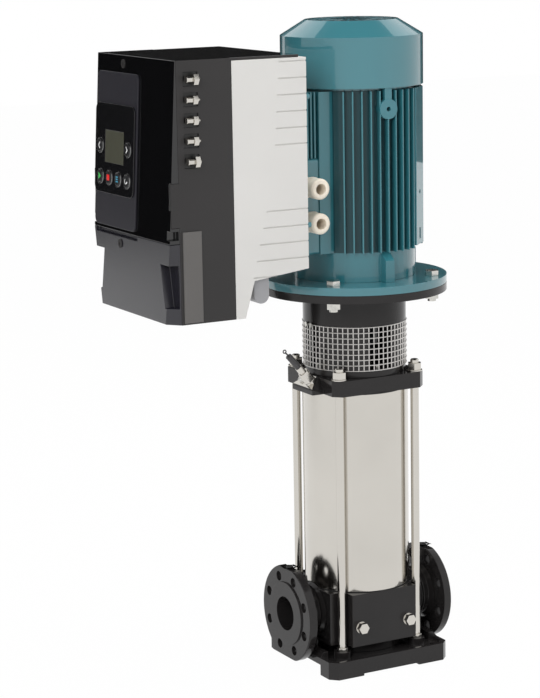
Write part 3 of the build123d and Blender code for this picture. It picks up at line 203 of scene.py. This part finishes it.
def finish(name, colour, roughness, metallic=0.0, spread=0.06, mottle=0.10, coarse=6.0, fine=260.0,
           stretch=(1, 1, 1), bump=0.15, depth=0.00015, coat=0.0, coat_roughness=0.08, coat_ior=1.5,
           specular=0.5):
    """One surface finish: cloudy colour, uneven roughness and a fine grain in relief."""
    material = bpy.data.materials.new(name)
    material.use_nodes = True
    tree = material.node_tree
    shader = tree.nodes["Principled BSDF"]
    shader.inputs["Metallic"].default_value = metallic
    shader.inputs["Specular IOR Level"].default_value = specular
    shader.inputs["Coat Weight"].default_value = coat
    shader.inputs["Coat Roughness"].default_value = coat_roughness
    shader.inputs["Coat IOR"].default_value = coat_ior
    clouds = pattern(tree, (1, 1, 1), coarse, 3.0)
    ramp = tree.nodes.new("ShaderNodeValToRGB")
    ramp.color_ramp.elements[0].position = 0.3
    ramp.color_ramp.elements[0].color = shade(colour, 1.0 - mottle)
    ramp.color_ramp.elements[1].position = 0.7
    ramp.color_ramp.elements[1].color = shade(colour, 1.0 + mottle)
    tree.links.new(clouds, ramp.inputs["Fac"])
    tree.links.new(ramp.outputs["Color"], shader.inputs["Base Color"])
    grain = pattern(tree, stretch, fine)
    limits = tree.nodes.new("ShaderNodeMapRange")
    limits.inputs["To Min"].default_value = max(0.02, roughness - spread)
    limits.inputs["To Max"].default_value = min(1.0, roughness + spread)
    tree.links.new(grain, limits.inputs["Value"])
    tree.links.new(limits.outputs["Result"], shader.inputs["Roughness"])
    relief = tree.nodes.new("ShaderNodeBump")
    relief.inputs["Strength"].default_value = bump
    relief.inputs["Distance"].default_value = depth
    tree.links.new(grain, relief.inputs["Height"])
    tree.links.new(relief.outputs["Normal"], shader.inputs["Normal"])
    return material


def paint_shade_between_fins(material):
    """Painted shade: paint that grows darker and duller towards the root of the cooling fins, where shade
    falls between them.
    """
    tree = material.node_tree
    shader = tree.nodes["Principled BSDF"]
    place = tree.nodes.new("ShaderNodeTexCoord").outputs["Object"]
    flat = wired(tree, "ShaderNodeVectorMath", "MULTIPLY", place, (1, 1, 0))
    radius = wired(tree, "ShaderNodeVectorMath", "LENGTH", flat.outputs["Vector"])
    depth = wired(tree, "ShaderNodeMapRange", None, radius.outputs["Value"],
                  FIN_ROOT * MM, FIN_TIP * MM, FIN_ROOT_PAINTED_SHADE, 1.0)
    axes = wired(tree, "ShaderNodeSeparateXYZ", None, place)
    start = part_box("motor_frame")[0].z + FIN_START * MM
    above = wired(tree, "ShaderNodeMath", "GREATER_THAN", axes.outputs["Z"], start)
    outside = wired(tree, "ShaderNodeMath", "GREATER_THAN", axes.outputs["X"], -SADDLE_EDGE * MM)
    finned = wired(tree, "ShaderNodeMath", "MULTIPLY", above.outputs[0], outside.outputs[0])
    share = tree.nodes.new("ShaderNodeMix")
    share.inputs["A"].default_value = 1.0
    tree.links.new(finned.outputs[0], share.inputs["Factor"])
    tree.links.new(depth.outputs["Result"], share.inputs["B"])
    colour = shader.inputs["Base Color"].links[0].from_socket
    # The paint colour is scaled down here: painted shade between the fins.
    painted_fin_shade = wired(tree, "ShaderNodeVectorMath", "SCALE", colour)
    tree.links.new(share.outputs["Result"], painted_fin_shade.inputs["Scale"])
    tree.links.new(painted_fin_shade.outputs["Vector"], shader.inputs["Base Color"])
    tree.links.new(share.outputs["Result"], shader.inputs["Coat Weight"])


def finishes():
    """All finishes of the pump by name, made once."""
    made = {m.name: m for m in bpy.data.materials}
    if "cast_enamel" in made:
        return made
    c = colours()
    upright, around = (1, 1, 0.02), (0.15, 0.15, 6)
    finish("cast_enamel", c.casting, 0.13, spread=0.03, fine=420, bump=0.14, depth=0.00015, mottle=0.14,
           specular=0.30)
    finish("motor_paint", c.motor, 0.36, fine=380, bump=0.10, coat=1.0, coat_roughness=0.03, coat_ior=1.60,
           mottle=0.05)
    # The fin paint below carries painted shade towards the root of the fins.
    paint_shade_between_fins(finish("fin_paint", c.motor, 0.36, fine=380, bump=0.10, coat=1.0, coat_roughness=0.03,
                               coat_ior=1.60, mottle=0.05, specular=0.2))
    finish("rolled_stainless", c.steel, 0.17, metallic=1, spread=0.05, mottle=0.04, stretch=upright,
           fine=700, bump=0.05, depth=0.00005)
    finish("bright_rod", c.steel, 0.14, metallic=1, mottle=0.03, stretch=around, fine=300,
           bump=0.06, depth=0.00005)
    finish("zinc_plate", (0.66, 0.65, 0.61), 0.24, metallic=1, mottle=0.10, coarse=60, fine=500, bump=0.1)
    finish("guard_wire", (0.68, 0.66, 0.64), 0.28, metallic=1, mottle=0.08, coarse=90, fine=900, bump=0.1)
    finish("turned_steel", (0.50, 0.50, 0.49), 0.28, metallic=1, stretch=around, fine=500, bump=0.12)
    finish("coupling_iron", (0.045, 0.045, 0.048), 0.45, metallic=0.3, fine=500, bump=0.4)
    finish("pressed_stainless", (0.56, 0.55, 0.53), 0.3, metallic=1, stretch=upright, fine=500, bump=0.1)
    finish("black_rubber", (0.02, 0.02, 0.02), 0.75, fine=900, bump=0.3)
    finish("carbon", (0.035, 0.035, 0.038), 0.5, fine=600, bump=0.2)
    finish("core_plates", (0.18, 0.18, 0.19), 0.5, metallic=0.8, stretch=(0.05, 0.05, 12), fine=220, bump=0.6)
    finish("enamelled_copper", (0.42, 0.13, 0.05), 0.32, metallic=0.7, stretch=around, fine=400, bump=0.6)
    finish("fan_plastic", (0.05, 0.05, 0.05), 0.5, fine=500, bump=0.2)
    finish("heatsink_paint", c.heatsink, 0.52, fine=520, bump=0.35, mottle=0.025, spread=0.05)
    finish("housing_plastic", c.housing, 0.50, fine=900, bump=0.5, depth=0.00012, mottle=0.08)
    finish("cover_gloss", c.cover, 0.08, spread=0.02, fine=60, bump=0.02, coat=0.5, coat_roughness=0.05)
    finish("cover_satin", (0.006, 0.0055, 0.011), 0.26, spread=0.03, fine=300, bump=0.05, coat=0.5,
           coat_roughness=0.22)
    finish("rail_plastic", (0.105, 0.100, 0.096), 0.50, fine=900, bump=0.4, depth=0.00012, mottle=0.06)
    # Black of the casing plugs, also used as painted shade in the side pockets of the inverter.
    finish("plug_black", (0.012, 0.012, 0.012), 0.35, fine=500, bump=0.2)
    finish("panel_satin", c.panel, 0.36, fine=900, bump=0.3, mottle=0.05)
    finish("bezel_gloss", (0.006, 0.006, 0.007), 0.12, spread=0.03, fine=200, bump=0.03, coat=0.4)
    finish("display_film", c.display, 0.30, spread=0.05, mottle=0.10, coarse=25, fine=1400, bump=0.05)
    finish("key_rubber", (0.010, 0.010, 0.011), 0.30, fine=700, bump=0.1, coat=0.3)
    finish("silver_ring", (0.62, 0.59, 0.55), 0.30, metallic=0.25, fine=900, bump=0.05)
    finish("nylon_cream", c.gland, 0.42, fine=700, bump=0.25, mottle=0.06, coarse=40)
    finish("vent_white", (0.80, 0.79, 0.76), 0.35, fine=700, bump=0.15)
    finish("vent_black", (0.055, 0.053, 0.055), 0.42, fine=700, bump=0.3)
    finish("grey_plastic", (0.20, 0.20, 0.205), 0.42, fine=600, bump=0.3)
    finish("board_green", (0.02, 0.12, 0.06), 0.4, fine=500, bump=0.3)
    finish("print_green", (0.06, 0.52, 0.10), 0.4, fine=900, bump=0.05)
    finish("print_red", (0.90, 0.02, 0.015), 0.4, fine=900, bump=0.05)
    finish("print_blue", (0.08, 0.42, 0.62), 0.4, fine=900, bump=0.05)
    finish("print_white", (0.95, 0.95, 0.95), 0.4, fine=900, bump=0.05)
    return {m.name: m for m in bpy.data.materials}


# ---- modelling helpers -------------------------------------------------------------
def deselect():
    bpy.ops.object.select_all(action="DESELECT")


def only(piece):
    deselect()
    piece.select_set(True)
    bpy.context.view_layer.objects.active = piece
    return piece


def added(shape, **settings):
    """New basic mesh, selected alone."""
    deselect()
    getattr(bpy.ops.mesh, "primitive_" + shape + "_add")(**settings)
    return bpy.context.view_layer.objects.active


def paint(piece, material):
    piece.data.materials.clear()
    piece.data.materials.append(finishes()[material])
    return piece


def coat_node(node, material):
    """Gives a carried-over solid its finish without touching its shape."""
    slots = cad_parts[node].material_slots
    for place in slots:
        place.material = finishes()[material]


def settle(piece, place=None):
    """Puts the piece's place into its mesh, so its object sits at the origin."""
    only(piece)
    if place is not None:
        piece.matrix_world = place @ piece.matrix_world
    bpy.ops.object.transform_apply(location=True, rotation=True, scale=True)
    return piece


def smooth(piece, angle=32):
    only(piece)
    bpy.ops.object.shade_smooth_by_angle(angle=radians(angle))
    return piece


def apply_modifiers(piece):
    only(piece)
    for modifier in list(piece.modifiers):
        bpy.ops.object.modifier_apply(modifier=modifier.name)
    return piece


def bevel(piece, width, segments=2, angle=35):
    modifier = piece.modifiers.new("edge", "BEVEL")
    modifier.width = width
    modifier.segments = segments
    modifier.limit_method = "ANGLE"
    modifier.angle_limit = radians(angle)
    modifier.use_clamp_overlap = False
    return apply_modifiers(piece)


def joined(pieces, name):
    deselect()
    for piece in pieces:
        piece.select_set(True)
    bpy.context.view_layer.objects.active = pieces[0]
    bpy.ops.object.join()
    pieces[0].name = name
    return settle(pieces[0])


def copied(piece, place):
    """A copy with its own mesh, moved by a matrix."""
    only(piece)
    bpy.ops.object.duplicate(linked=False)
    twin = bpy.context.view_layer.objects.active
    twin.matrix_world = place @ twin.matrix_world
    return twin


def weigh_normals(piece):
    """Keeps large flat faces flat beside their rounded edges."""
    modifier = piece.modifiers.new("weight", "WEIGHTED_NORMAL")
    modifier.keep_sharp = True
    return apply_modifiers(piece)


def paint_part(piece, material, chosen):
    """Second finish on the faces whose centre passes a test."""
    piece.data.materials.append(finishes()[material])
    for face in piece.data.polygons:
        if chosen(face.center):
            face.material_index = len(piece.data.materials) - 1
    return piece


def mount(piece, body, material, angle=32):
    smooth(piece, angle)
    paint(piece, material)
    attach(piece, body)
    return piece


def softened(node, name, body, material, width, segments=2, angle=40, crease=32):
    """Copy of a solid with its sharp edges rounded, shown in its place."""
    deselect()
    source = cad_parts[node]
    source.select_set(True)
    bpy.context.view_layer.objects.active = source
    bpy.ops.object.duplicate(linked=False)
    piece = bpy.context.view_layer.objects.active
    piece.parent = None
    piece.name = name
    bpy.ops.mesh.customdata_custom_splitnormals_clear()
    bpy.ops.object.mode_set(mode="EDIT")
    bpy.ops.mesh.select_all(action="SELECT")
    bpy.ops.mesh.remove_doubles(threshold=MERGE_DISTANCE)
    bpy.ops.mesh.dissolve_limited(angle_limit=radians(FLAT_ANGLE))
    bpy.ops.object.mode_set(mode="OBJECT")
    bevel(piece, width, segments, angle)
    only(piece)
    bpy.ops.object.mode_set(mode="EDIT")
    bpy.ops.mesh.select_all(action="SELECT")
    bpy.ops.mesh.remove_doubles(threshold=MERGE_DISTANCE)
    bpy.ops.object.mode_set(mode="OBJECT")
    smooth(piece, crease)
    weigh_normals(piece)
    paint(piece, material)
    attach(piece, body)
    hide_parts(node)
    return piece


def key_place(node):
    """Frame of a key's outer face: X to the reader's right, Y up and Z outwards."""
    low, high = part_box(node)
    out = Vector((-1, 0, COVER_LEAN)).normalized()
    right = Vector((0, -1, 0))
    up = out.cross(right)
    thickness = (high.x - low.x - (high.y - low.y) * out.z) / abs(out.x)
    place = Matrix((right, up, out)).transposed().to_4x4()
    place.translation = (low + high) / 2 + out * (thickness / 2 + 0.05 * MM)
    return place


# ---- the pump end --------------------------------------------------------------------
class PUMP_OT_castings(bpy.types.Operator):
    """Black enamelled base, casing, head plate and lantern with rounded casting edges"""
    bl_idname = "pump.castings"
    bl_label = "Castings"

    def execute(self, context):
        edge = sizes().casting_edge
        for node in ("base_foot", "pump_casing", "head_plate", "lantern"):
            softened(node, "enamelled_" + node, "pump", "cast_enamel", edge)
        return {"FINISHED"}


class PUMP_OT_sleeve(bpy.types.Operator):
    """Rolled stainless sleeve and its gaskets"""
    bl_idname = "pump.sleeve"
    bl_label = "Sleeve"

    def execute(self, context):
        coat_node("outer_sleeve", "rolled_stainless")
        coat_node("sleeve_gaskets", "black_rubber")
        return {"FINISHED"}


class PUMP_OT_fasteners(bpy.types.Operator):
    """Tie rods, nuts, plugs and flange bolts with chamfered edges"""
    bl_idname = "pump.fasteners"
    bl_label = "Fasteners"

    def execute(self, context):
        edge = sizes().sheet_edge
        coat_node("tie_rods", "bright_rod")
        softened("rod_nuts", "bright_rod_nuts", "pump", "bright_rod", edge)
        plugs = softened("casing_plugs", "bright_casing_plugs", "pump", "bright_rod", edge)
        casing_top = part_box("outer_sleeve")[0].z
        paint_part(plugs, "plug_black", lambda centre: centre.z > casing_top)
        for node in ("flange_bolts", "flange_nuts", "lantern_screws", "fan_cover_screws"):
            softened(node, "plated_" + node, "pump", "zinc_plate", edge)
        for node in ("guard_screws", "seal_cover"):
            coat_node(node, "zinc_plate")
        return {"FINISHED"}


class PUMP_OT_guard(bpy.types.Operator):
    """Welded wire guard around the coupling"""
    bl_idname = "pump.guard"
    bl_label = "Coupling guard"

    def execute(self, context):
        low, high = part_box("guard_front")
        wire = sizes().mesh_wire / 2
        outer = high.x - 0.2 * MM
        ring_radius = outer - wire
        upright_radius = ring_radius - wire * 0.8
        wires = []
        rows = sizes().mesh_rows
        for step in range(rows + 1):
            height = low.z + wire + (high.z - low.z - 2 * wire) * step / rows
            wires.append(added(
                "torus", major_radius=ring_radius, minor_radius=wire, major_segments=124,
                minor_segments=8, location=(0, 0, height)))
        first = added("cylinder", vertices=8, radius=wire, depth=high.z - low.z,
                      location=(upright_radius, 0, (low.z + high.z) / 2))
        columns = sizes().mesh_columns
        for step in range(1, columns):
            wires.append(copied(first, Matrix.Rotation(2 * pi * step / columns, 4, "Z")))
        wires.append(first)
        piece = joined(wires, "guard_wires")
        mount(piece, "pump", "guard_wire", 50)
        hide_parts("guard_front", "guard_rear")
        return {"FINISHED"}


class PUMP_OT_coupling(bpy.types.Operator):
    """Split coupling, shafts and seal seen through the guard"""
    bl_idname = "pump.coupling"
    bl_label = "Coupling"

    def execute(self, context):
        edge = sizes().sheet_edge
        for node in ("coupling_front", "coupling_rear"):
            softened(node, "clamp_" + node, "rotor", "coupling_iron", edge)
        coat_node("coupling_screws", "zinc_plate")
        coat_node("pump_shaft", "turned_steel")
        coat_node("motor_shaft", "turned_steel")
        return {"FINISHED"}


class PUMP_OT_vent(bpy.types.Operator):
    """Air vent valve on the sloping boss of the head"""
    bl_idname = "pump.vent"
    bl_label = "Vent valve"

    def execute(self, context):
        edge = sizes().sheet_edge
        softened("vent_plate", "vent_plate_bright", "pump", "bright_rod", 0.2 * MM)
        softened("vent_body", "vent_valve", "pump", "bright_rod", edge)
        softened("vent_knob", "vent_spindle", "vent_knob", "vent_black", 0.25 * MM)
        coat_node("vent_plug", "vent_white")
        return {"FINISHED"}


class PUMP_OT_hydraulics(bpy.types.Operator):
    """Stages, bush and seal inside the sleeve"""
    bl_idname = "pump.hydraulics"
    bl_label = "Stages and seal"

    def execute(self, context):
        for node in ("stage_casings", "impellers", "seal_rotor"):
            coat_node(node, "pressed_stainless")
        for node in ("bearing_bush", "seal_seat"):
            coat_node(node, "carbon")
        return {"FINISHED"}


# ---- the motor -------------------------------------------------------------------------
class PUMP_OT_motor(bpy.types.Operator):
    """Painted motor castings, fan cover and terminal box"""
    bl_idname = "pump.motor"
    bl_label = "Motor"

    def execute(self, context):
        edge = sizes().casting_edge
        thin = sizes().sheet_edge
        for node in ("motor_flange", "rear_shield"):
            softened(node, "painted_" + node, "pump", "motor_paint", edge)
        # The frame's paint is darkened between the fins as painted shade.
        softened("motor_frame", "painted_motor_frame", "pump", "fin_paint", thin)
        softened("terminal_box", "painted_terminal_box", "pump", "motor_paint", thin)
        softened("fan_cover", "painted_fan_cover", "pump", "motor_paint", thin, 2, 25, 20)
        softened("cable_glands", "nylon_glands", "pump", "nylon_cream", thin)
        return {"FINISHED"}


class PUMP_OT_windings(bpy.types.Operator):
    """Stator, rotor, bearings and fan inside the motor"""
    bl_idname = "pump.windings"
    bl_label = "Motor inside"

    def execute(self, context):
        coat_node("stator_core", "core_plates")
        coat_node("motor_rotor", "core_plates")
        coat_node("stator_windings", "enamelled_copper")
        coat_node("motor_bearings", "turned_steel")
        coat_node("cooling_fan", "fan_plastic")
        return {"FINISHED"}


# ---- the inverter ------------------------------------------------------------------------
class PUMP_OT_inverter(bpy.types.Operator):
    """Light heat sink, dark housing, covers and side screws"""
    bl_idname = "pump.inverter"
    bl_label = "Inverter"

    def execute(self, context):
        edge = sizes().sheet_edge
        softened("inverter_heatsink", "light_heatsink", "pump", "heatsink_paint", edge)
        housing = softened("inverter_body", "dark_housing", "pump", "housing_plastic", edge)
        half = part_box("upper_cover")[1].y
        paint_part(housing, "rail_plastic", lambda centre: abs(centre.y) > half + 0.5 * MM)
        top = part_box("inverter_body")[1].z
        paint_part(housing, "cover_gloss", lambda centre: centre.z > top - 0.1 * MM)
        # The faces of the side pockets get the black finish as painted shade in the pockets.
        paint_part(housing, "plug_black", lambda centre: 0.5 * MM < centre.y + half < 3.5 * MM)
        softened("upper_cover", "glossy_upper_cover", "pump", "cover_gloss", edge * 1.5, 3)
        softened("lower_cover", "glossy_lower_cover", "pump", "cover_satin", edge * 1.5, 3)
        self.side_screws()
        softened("inverter_foot", "grey_foot", "pump", "grey_plastic", edge)
        self.heatsink_studs()
        coat_node("circuit_board", "board_green")
        coat_node("cover_screws", "housing_plastic")
        return {"FINISHED"}

    def side_screws(self):
        """Bright screws lying in the side pockets: collar, neck, hexagon and domed end."""
        low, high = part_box("side_posts")
        middle = (low + high) / 2
        pieces = []
        for step in (-2, -1, 0, 1, 2):
            flats = sizes().post_flats * (END_SCREW_SHARE if abs(step) == 2 else 1.0)
            corner = flats / HEXAGON_RATIO
            centre = Vector((middle.x, high.y - corner, middle.z + step * sizes().post_pitch))
            sections = (
                (32, COLLAR_RADIUS * MM, COLLAR_RADIUS * MM, COLLAR_START, COLLAR_LENGTH),
                (32, NECK_RADIUS * MM, NECK_RADIUS * MM, NECK_START, NECK_LENGTH),
                (6, corner, corner, 0, HEXAGON_LENGTH),
                (32, flats * 0.42, flats * 0.2, HEXAGON_LENGTH, DOME_LENGTH))
            for sides, first, last, start, length in sections:
                along = Vector(((start + length / 2) * MM, 0, 0))
                pieces.append(added("cone", vertices=sides, radius1=first, radius2=last, depth=length * MM,
                                    location=centre + along, rotation=(0, pi / 2, 0)))
        piece = joined(pieces, "bright_side_screws")
        bevel(piece, 0.5 * MM)
        mount(piece, "pump", "bright_rod")
        weigh_normals(piece)
        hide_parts("side_posts")

    def heatsink_studs(self):
        """Painted clamp screws that show behind the rear edge of the heat sink."""
        low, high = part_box("inverter_heatsink")
        studs = []
        for drop in STUD_DROPS:
            centre = (high.x + STUD_LENGTH / 2 * MM, low.y + STUD_INSET * MM, high.z - drop * MM)
            studs.append(added("cylinder", vertices=24, radius=STUD_RADIUS * MM, depth=STUD_LENGTH * MM,
                               location=centre, rotation=(0, pi / 2, 0)))
        piece = joined(studs, "heatsink_studs")
        bevel(piece, 0.8 * MM)
        mount(piece, "pump", "motor_paint")


class PUMP_OT_keypad(bpy.types.Operator):
    """Keypad panel, bezel, display and keys with their printed symbols"""
    bl_idname = "pump.keypad"
    bl_label = "Keypad"

    def execute(self, context):
        edge = sizes().sheet_edge
        softened("keypad_panel", "satin_panel", "pump", "panel_satin", edge * 1.6, 3)
        softened("keypad_bezel", "glossy_bezel", "pump", "bezel_gloss", edge, 3)
        coat_node("display_window", "display_film")
        softened("key_rings", "silver_key_rings", "pump", "silver_ring", edge * 0.5)
        for node in ("left", "right", "start", "stop", "menu", "set"):
            coat_node("button_" + node, "key_rubber")
        self.start_symbol()
        self.stop_symbol()
        self.menu_symbol()
        self.set_symbol()
        self.arrow_symbol("button_left", 1)
        self.arrow_symbol("button_right", -1)
        return {"FINISHED"}

    def finish_symbol(self, piece, node, material, name):
        settle(piece, key_place(node))
        piece.name = name
        mount(piece, node, material)

    def start_symbol(self):
        size = sizes().symbol_size
        piece = settle(added("cylinder", vertices=3, radius=size * 0.58, depth=SYMBOL_THICKNESS,
                             rotation=(0, 0, -pi / 2)))
        bevel(piece, SYMBOL_EDGE)
        self.finish_symbol(piece, "button_start", "print_green", "symbol_start")

    def stop_symbol(self):
        size = sizes().symbol_size
        piece = added("cube", size=1)
        piece.scale = (size * 0.82, size * 0.82, SYMBOL_THICKNESS)
        settle(piece)
        bevel(piece, SYMBOL_EDGE)
        self.finish_symbol(piece, "button_stop", "print_red", "symbol_stop")

    def menu_symbol(self):
        size = sizes().symbol_size
        bars = []
        for step in (-1, 0, 1):
            bar = added("cube", size=1, location=(0, step * size * 0.32, 0))
            bar.scale = (size * 0.75, size * 0.14, SYMBOL_THICKNESS)
            bars.append(bar)
        piece = joined(bars, "symbol_menu")
        bevel(piece, SYMBOL_EDGE)
        self.finish_symbol(piece, "button_menu", "print_blue", "symbol_menu")

    def set_symbol(self):
        """Ring arrow: three quarters of a ring with a small head."""
        size = sizes().symbol_size
        ring = added("torus", major_radius=size * 0.34, minor_radius=size * 0.07, major_segments=36,
                     minor_segments=8)
        ring.scale = (1, 1, 0.2)
        settle(ring)
        bpy.ops.object.mode_set(mode="EDIT")
        bpy.ops.mesh.select_all(action="SELECT")
        bpy.ops.mesh.bisect(plane_co=(size * 0.12, 0, 0), plane_no=(1, 1, 0), clear_outer=True, use_fill=True)
        bpy.ops.object.mode_set(mode="OBJECT")
        head = added("cone", vertices=16, radius1=size * 0.2, radius2=0.1 * MM, depth=size * 0.34,
                     location=(size * 0.34, -size * 0.2, 0), rotation=(pi / 2, 0, 0))
        head.scale = (1, 0.06, 1)
        piece = joined([ring, head], "symbol_set")
        self.finish_symbol(piece, "button_set", "print_white", "symbol_set")

    def arrow_symbol(self, node, way):
        """Chevron pointing away from the display."""
        size = sizes().symbol_size
        bars = []
        for tilt in (1, -1):
            bar = added("cube", size=1, location=(0, tilt * size * 0.2, 0),
                        rotation=(0, 0, way * tilt * radians(48)))
            bar.scale = (size * 0.62, size * 0.17, SYMBOL_THICKNESS)
            bars.append(bar)
        piece = joined(bars, "symbol_" + node)
        bevel(piece, SYMBOL_EDGE)
        self.finish_symbol(piece, node, "print_white", "symbol_" + node)


# ---- the stage ---------------------------------------------------------------------------
def soft_light(name, place, target, width, height, power):
    lamp = bpy.data.lights.new(name, "AREA")
    lamp.shape = "RECTANGLE"
    lamp.size = width
    lamp.size_y = height
    lamp.energy = power
    holder = bpy.data.objects.new(name, lamp)
    bpy.context.scene.collection.objects.link(holder)
    holder.location = place
    holder.rotation_mode = "QUATERNION"
    holder.rotation_quaternion = (Vector(target) - Vector(place)).to_track_quat("-Z", "Y")
    holder.visible_glossy = False


def pale_world():
    """Pale surroundings, seen white by the camera and by metal, dimmer as a light."""
    world = bpy.data.worlds.new("pale_world")
    bpy.context.scene.world = world
    world.use_nodes = True
    tree = world.node_tree
    background = tree.nodes["Background"]
    background.inputs["Color"].default_value = (1, 1, 1, 1)
    path, seen = seen_directly(tree)
    clear = wired(tree, "ShaderNodeMath", "MAXIMUM", seen, path.outputs["Is Transmission Ray"])
    level = wired(tree, "ShaderNodeMapRange", None, clear.outputs[0], 0.0, 1.0, WORLD_LIGHT, 1.0)
    tree.links.new(level.outputs["Result"], background.inputs["Strength"])


def pale_floor():
    """Pale floor that glows where it is seen directly, so that it shows no horizon."""
    floor = added("plane", size=FLOOR_SIZE, location=(0, 0, CAD_BOX[0].z))
    floor.name = "floor"
    material = bpy.data.materials.new("pale_floor")
    material.use_nodes = True
    tree = material.node_tree
    shader = tree.nodes["Principled BSDF"]
    shader.inputs["Base Color"].default_value = (0.86, 0.86, 0.86, 1)
    shader.inputs["Roughness"].default_value = 0.7
    glow = tree.nodes.new("ShaderNodeEmission")
    share = wired(tree, "ShaderNodeMath", "MULTIPLY", seen_directly(tree)[1], FLOOR_GLOW)
    mix = wired(tree, "ShaderNodeMixShader", None, share.outputs[0])
    tree.links.new(shader.outputs["BSDF"], mix.inputs[1])
    tree.links.new(glow.outputs["Emission"], mix.inputs[2])
    tree.links.new(mix.outputs["Shader"], tree.nodes["Material Output"].inputs["Surface"])
    floor.data.materials.append(material)


def dark_card(name, place, width, height, rotation):
    """Dark studio card that only reflections see."""
    card = added("plane", size=1, location=place, rotation=rotation)
    card.name = name
    card.scale = (width, height, 1)
    settle(card)
    material = bpy.data.materials.new(name)
    material.use_nodes = True
    shader = material.node_tree.nodes["Principled BSDF"]
    shader.inputs["Base Color"].default_value = (0.01, 0.01, 0.01, 1)
    shader.inputs["Roughness"].default_value = 1.0
    card.data.materials.append(material)
    card.visible_camera = False
    card.visible_diffuse = False
    card.visible_shadow = False


def place_camera():
    """Camera at standing height in front of the inverter corner, looking slightly down."""
    camera = bpy.data.cameras.new("camera")
    camera.sensor_width = CAMERA_SENSOR
    camera.lens = CAMERA_LENS
    camera.clip_end = 100
    holder = bpy.data.objects.new("camera", camera)
    bpy.context.scene.collection.objects.link(holder)
    place = Vector(CAMERA_PLACE)
    ahead = (Vector(CAMERA_TARGET) - place).normalized()
    right = ahead.cross(Vector((0, 0, 1))).normalized()
    up = right.cross(ahead)
    ahead = (ahead + tan(radians(CAMERA_RIGHT)) * right + tan(radians(CAMERA_UP)) * up).normalized()
    right = ahead.cross(Vector((0, 0, 1))).normalized()
    up = right.cross(ahead)
    roll = radians(CAMERA_ROLL)
    across = cos(roll) * right + sin(roll) * up
    above = cos(roll) * up - sin(roll) * right
    turn = Matrix((across, above, -ahead)).transposed()
    holder.matrix_world = Matrix.Translation(place) @ turn.to_4x4()
    bpy.context.scene.camera = holder


class PUMP_OT_stage(bpy.types.Operator):
    """Camera, soft lights, pale floor and surroundings"""
    bl_idname = "pump.stage"
    bl_label = "Stage"

    def execute(self, context):
        context.scene.view_settings.view_transform = "Standard"
        place_camera()
        pale_world()
        pale_floor()
        middle = (-0.1, 0, 0.7)
        soft_light("key_light", (-2.6, -2.0, 2.4), middle, 1.6, 1.6, 66)
        soft_light("side_light", (1.8, -2.6, 1.6), middle, 1.0, 2.0, 16)
        soft_light("top_light", (0.2, -0.4, 3.6), middle, 2.0, 2.0, 58)
        soft_light("back_light", (1.6, 2.4, 2.4), middle, 1.6, 1.6, 26)
        dark_card("dark_card_floor", (-3.39, 2.84, 0.02), 2.0, 2.6, (0, 0, radians(20.4)))
        dark_card("dark_card_left", (-3.2, 3.6, 1.8), 4.2, 3.2, (pi / 2, 0, radians(28)))
        dark_card("dark_card_rear", (2.2, 3.7, 1.55), 6.0, 2.3, (pi / 2, 0, radians(-30.6)))
        dark_card("dark_card_top", (0, 0, 4.5), 5.0, 5.0, (0, 0, 0))
        return {"FINISHED"}


OPERATORS = (
    PUMP_OT_stage, PUMP_OT_castings, PUMP_OT_sleeve, PUMP_OT_fasteners, PUMP_OT_guard, PUMP_OT_coupling,
    PUMP_OT_vent, PUMP_OT_hydraulics, PUMP_OT_motor, PUMP_OT_windings, PUMP_OT_inverter, PUMP_OT_keypad,
)


class PUMP_PT_panel(bpy.types.Panel):
    """Lists the pump's sizes, colours and pieces"""
    bl_idname = "PUMP_PT_panel"
    bl_label = "Vertical Multistage Pump"
    bl_space_type = "VIEW_3D"
    bl_region_type = "UI"
    bl_category = "Pump"

    def draw(self, context):
        for group in (context.scene.pump_sizes, context.scene.pump_colours):
            box = self.layout.box()
            for name in group.__annotations__:
                box.prop(group, name)
        for operator in OPERATORS:
            self.layout.operator(operator.bl_idname)


CLASSES = (PumpSizes, PumpColours) + OPERATORS + (PUMP_PT_panel,)


def register():
    for cls in CLASSES:
        bpy.utils.register_class(cls)
    bpy.types.Scene.pump_sizes = PointerProperty(type=PumpSizes)
    bpy.types.Scene.pump_colours = PointerProperty(type=PumpColours)


def unregister():
    del bpy.types.Scene.pump_colours
    del bpy.types.Scene.pump_sizes
    for cls in reversed(CLASSES):
        bpy.utils.unregister_class(cls)


def main():
    register()
    for operator in OPERATORS:
        group, name = operator.bl_idname.split(".")
        getattr(getattr(bpy.ops, group), name)()


if __name__ == "__main__":
    main()
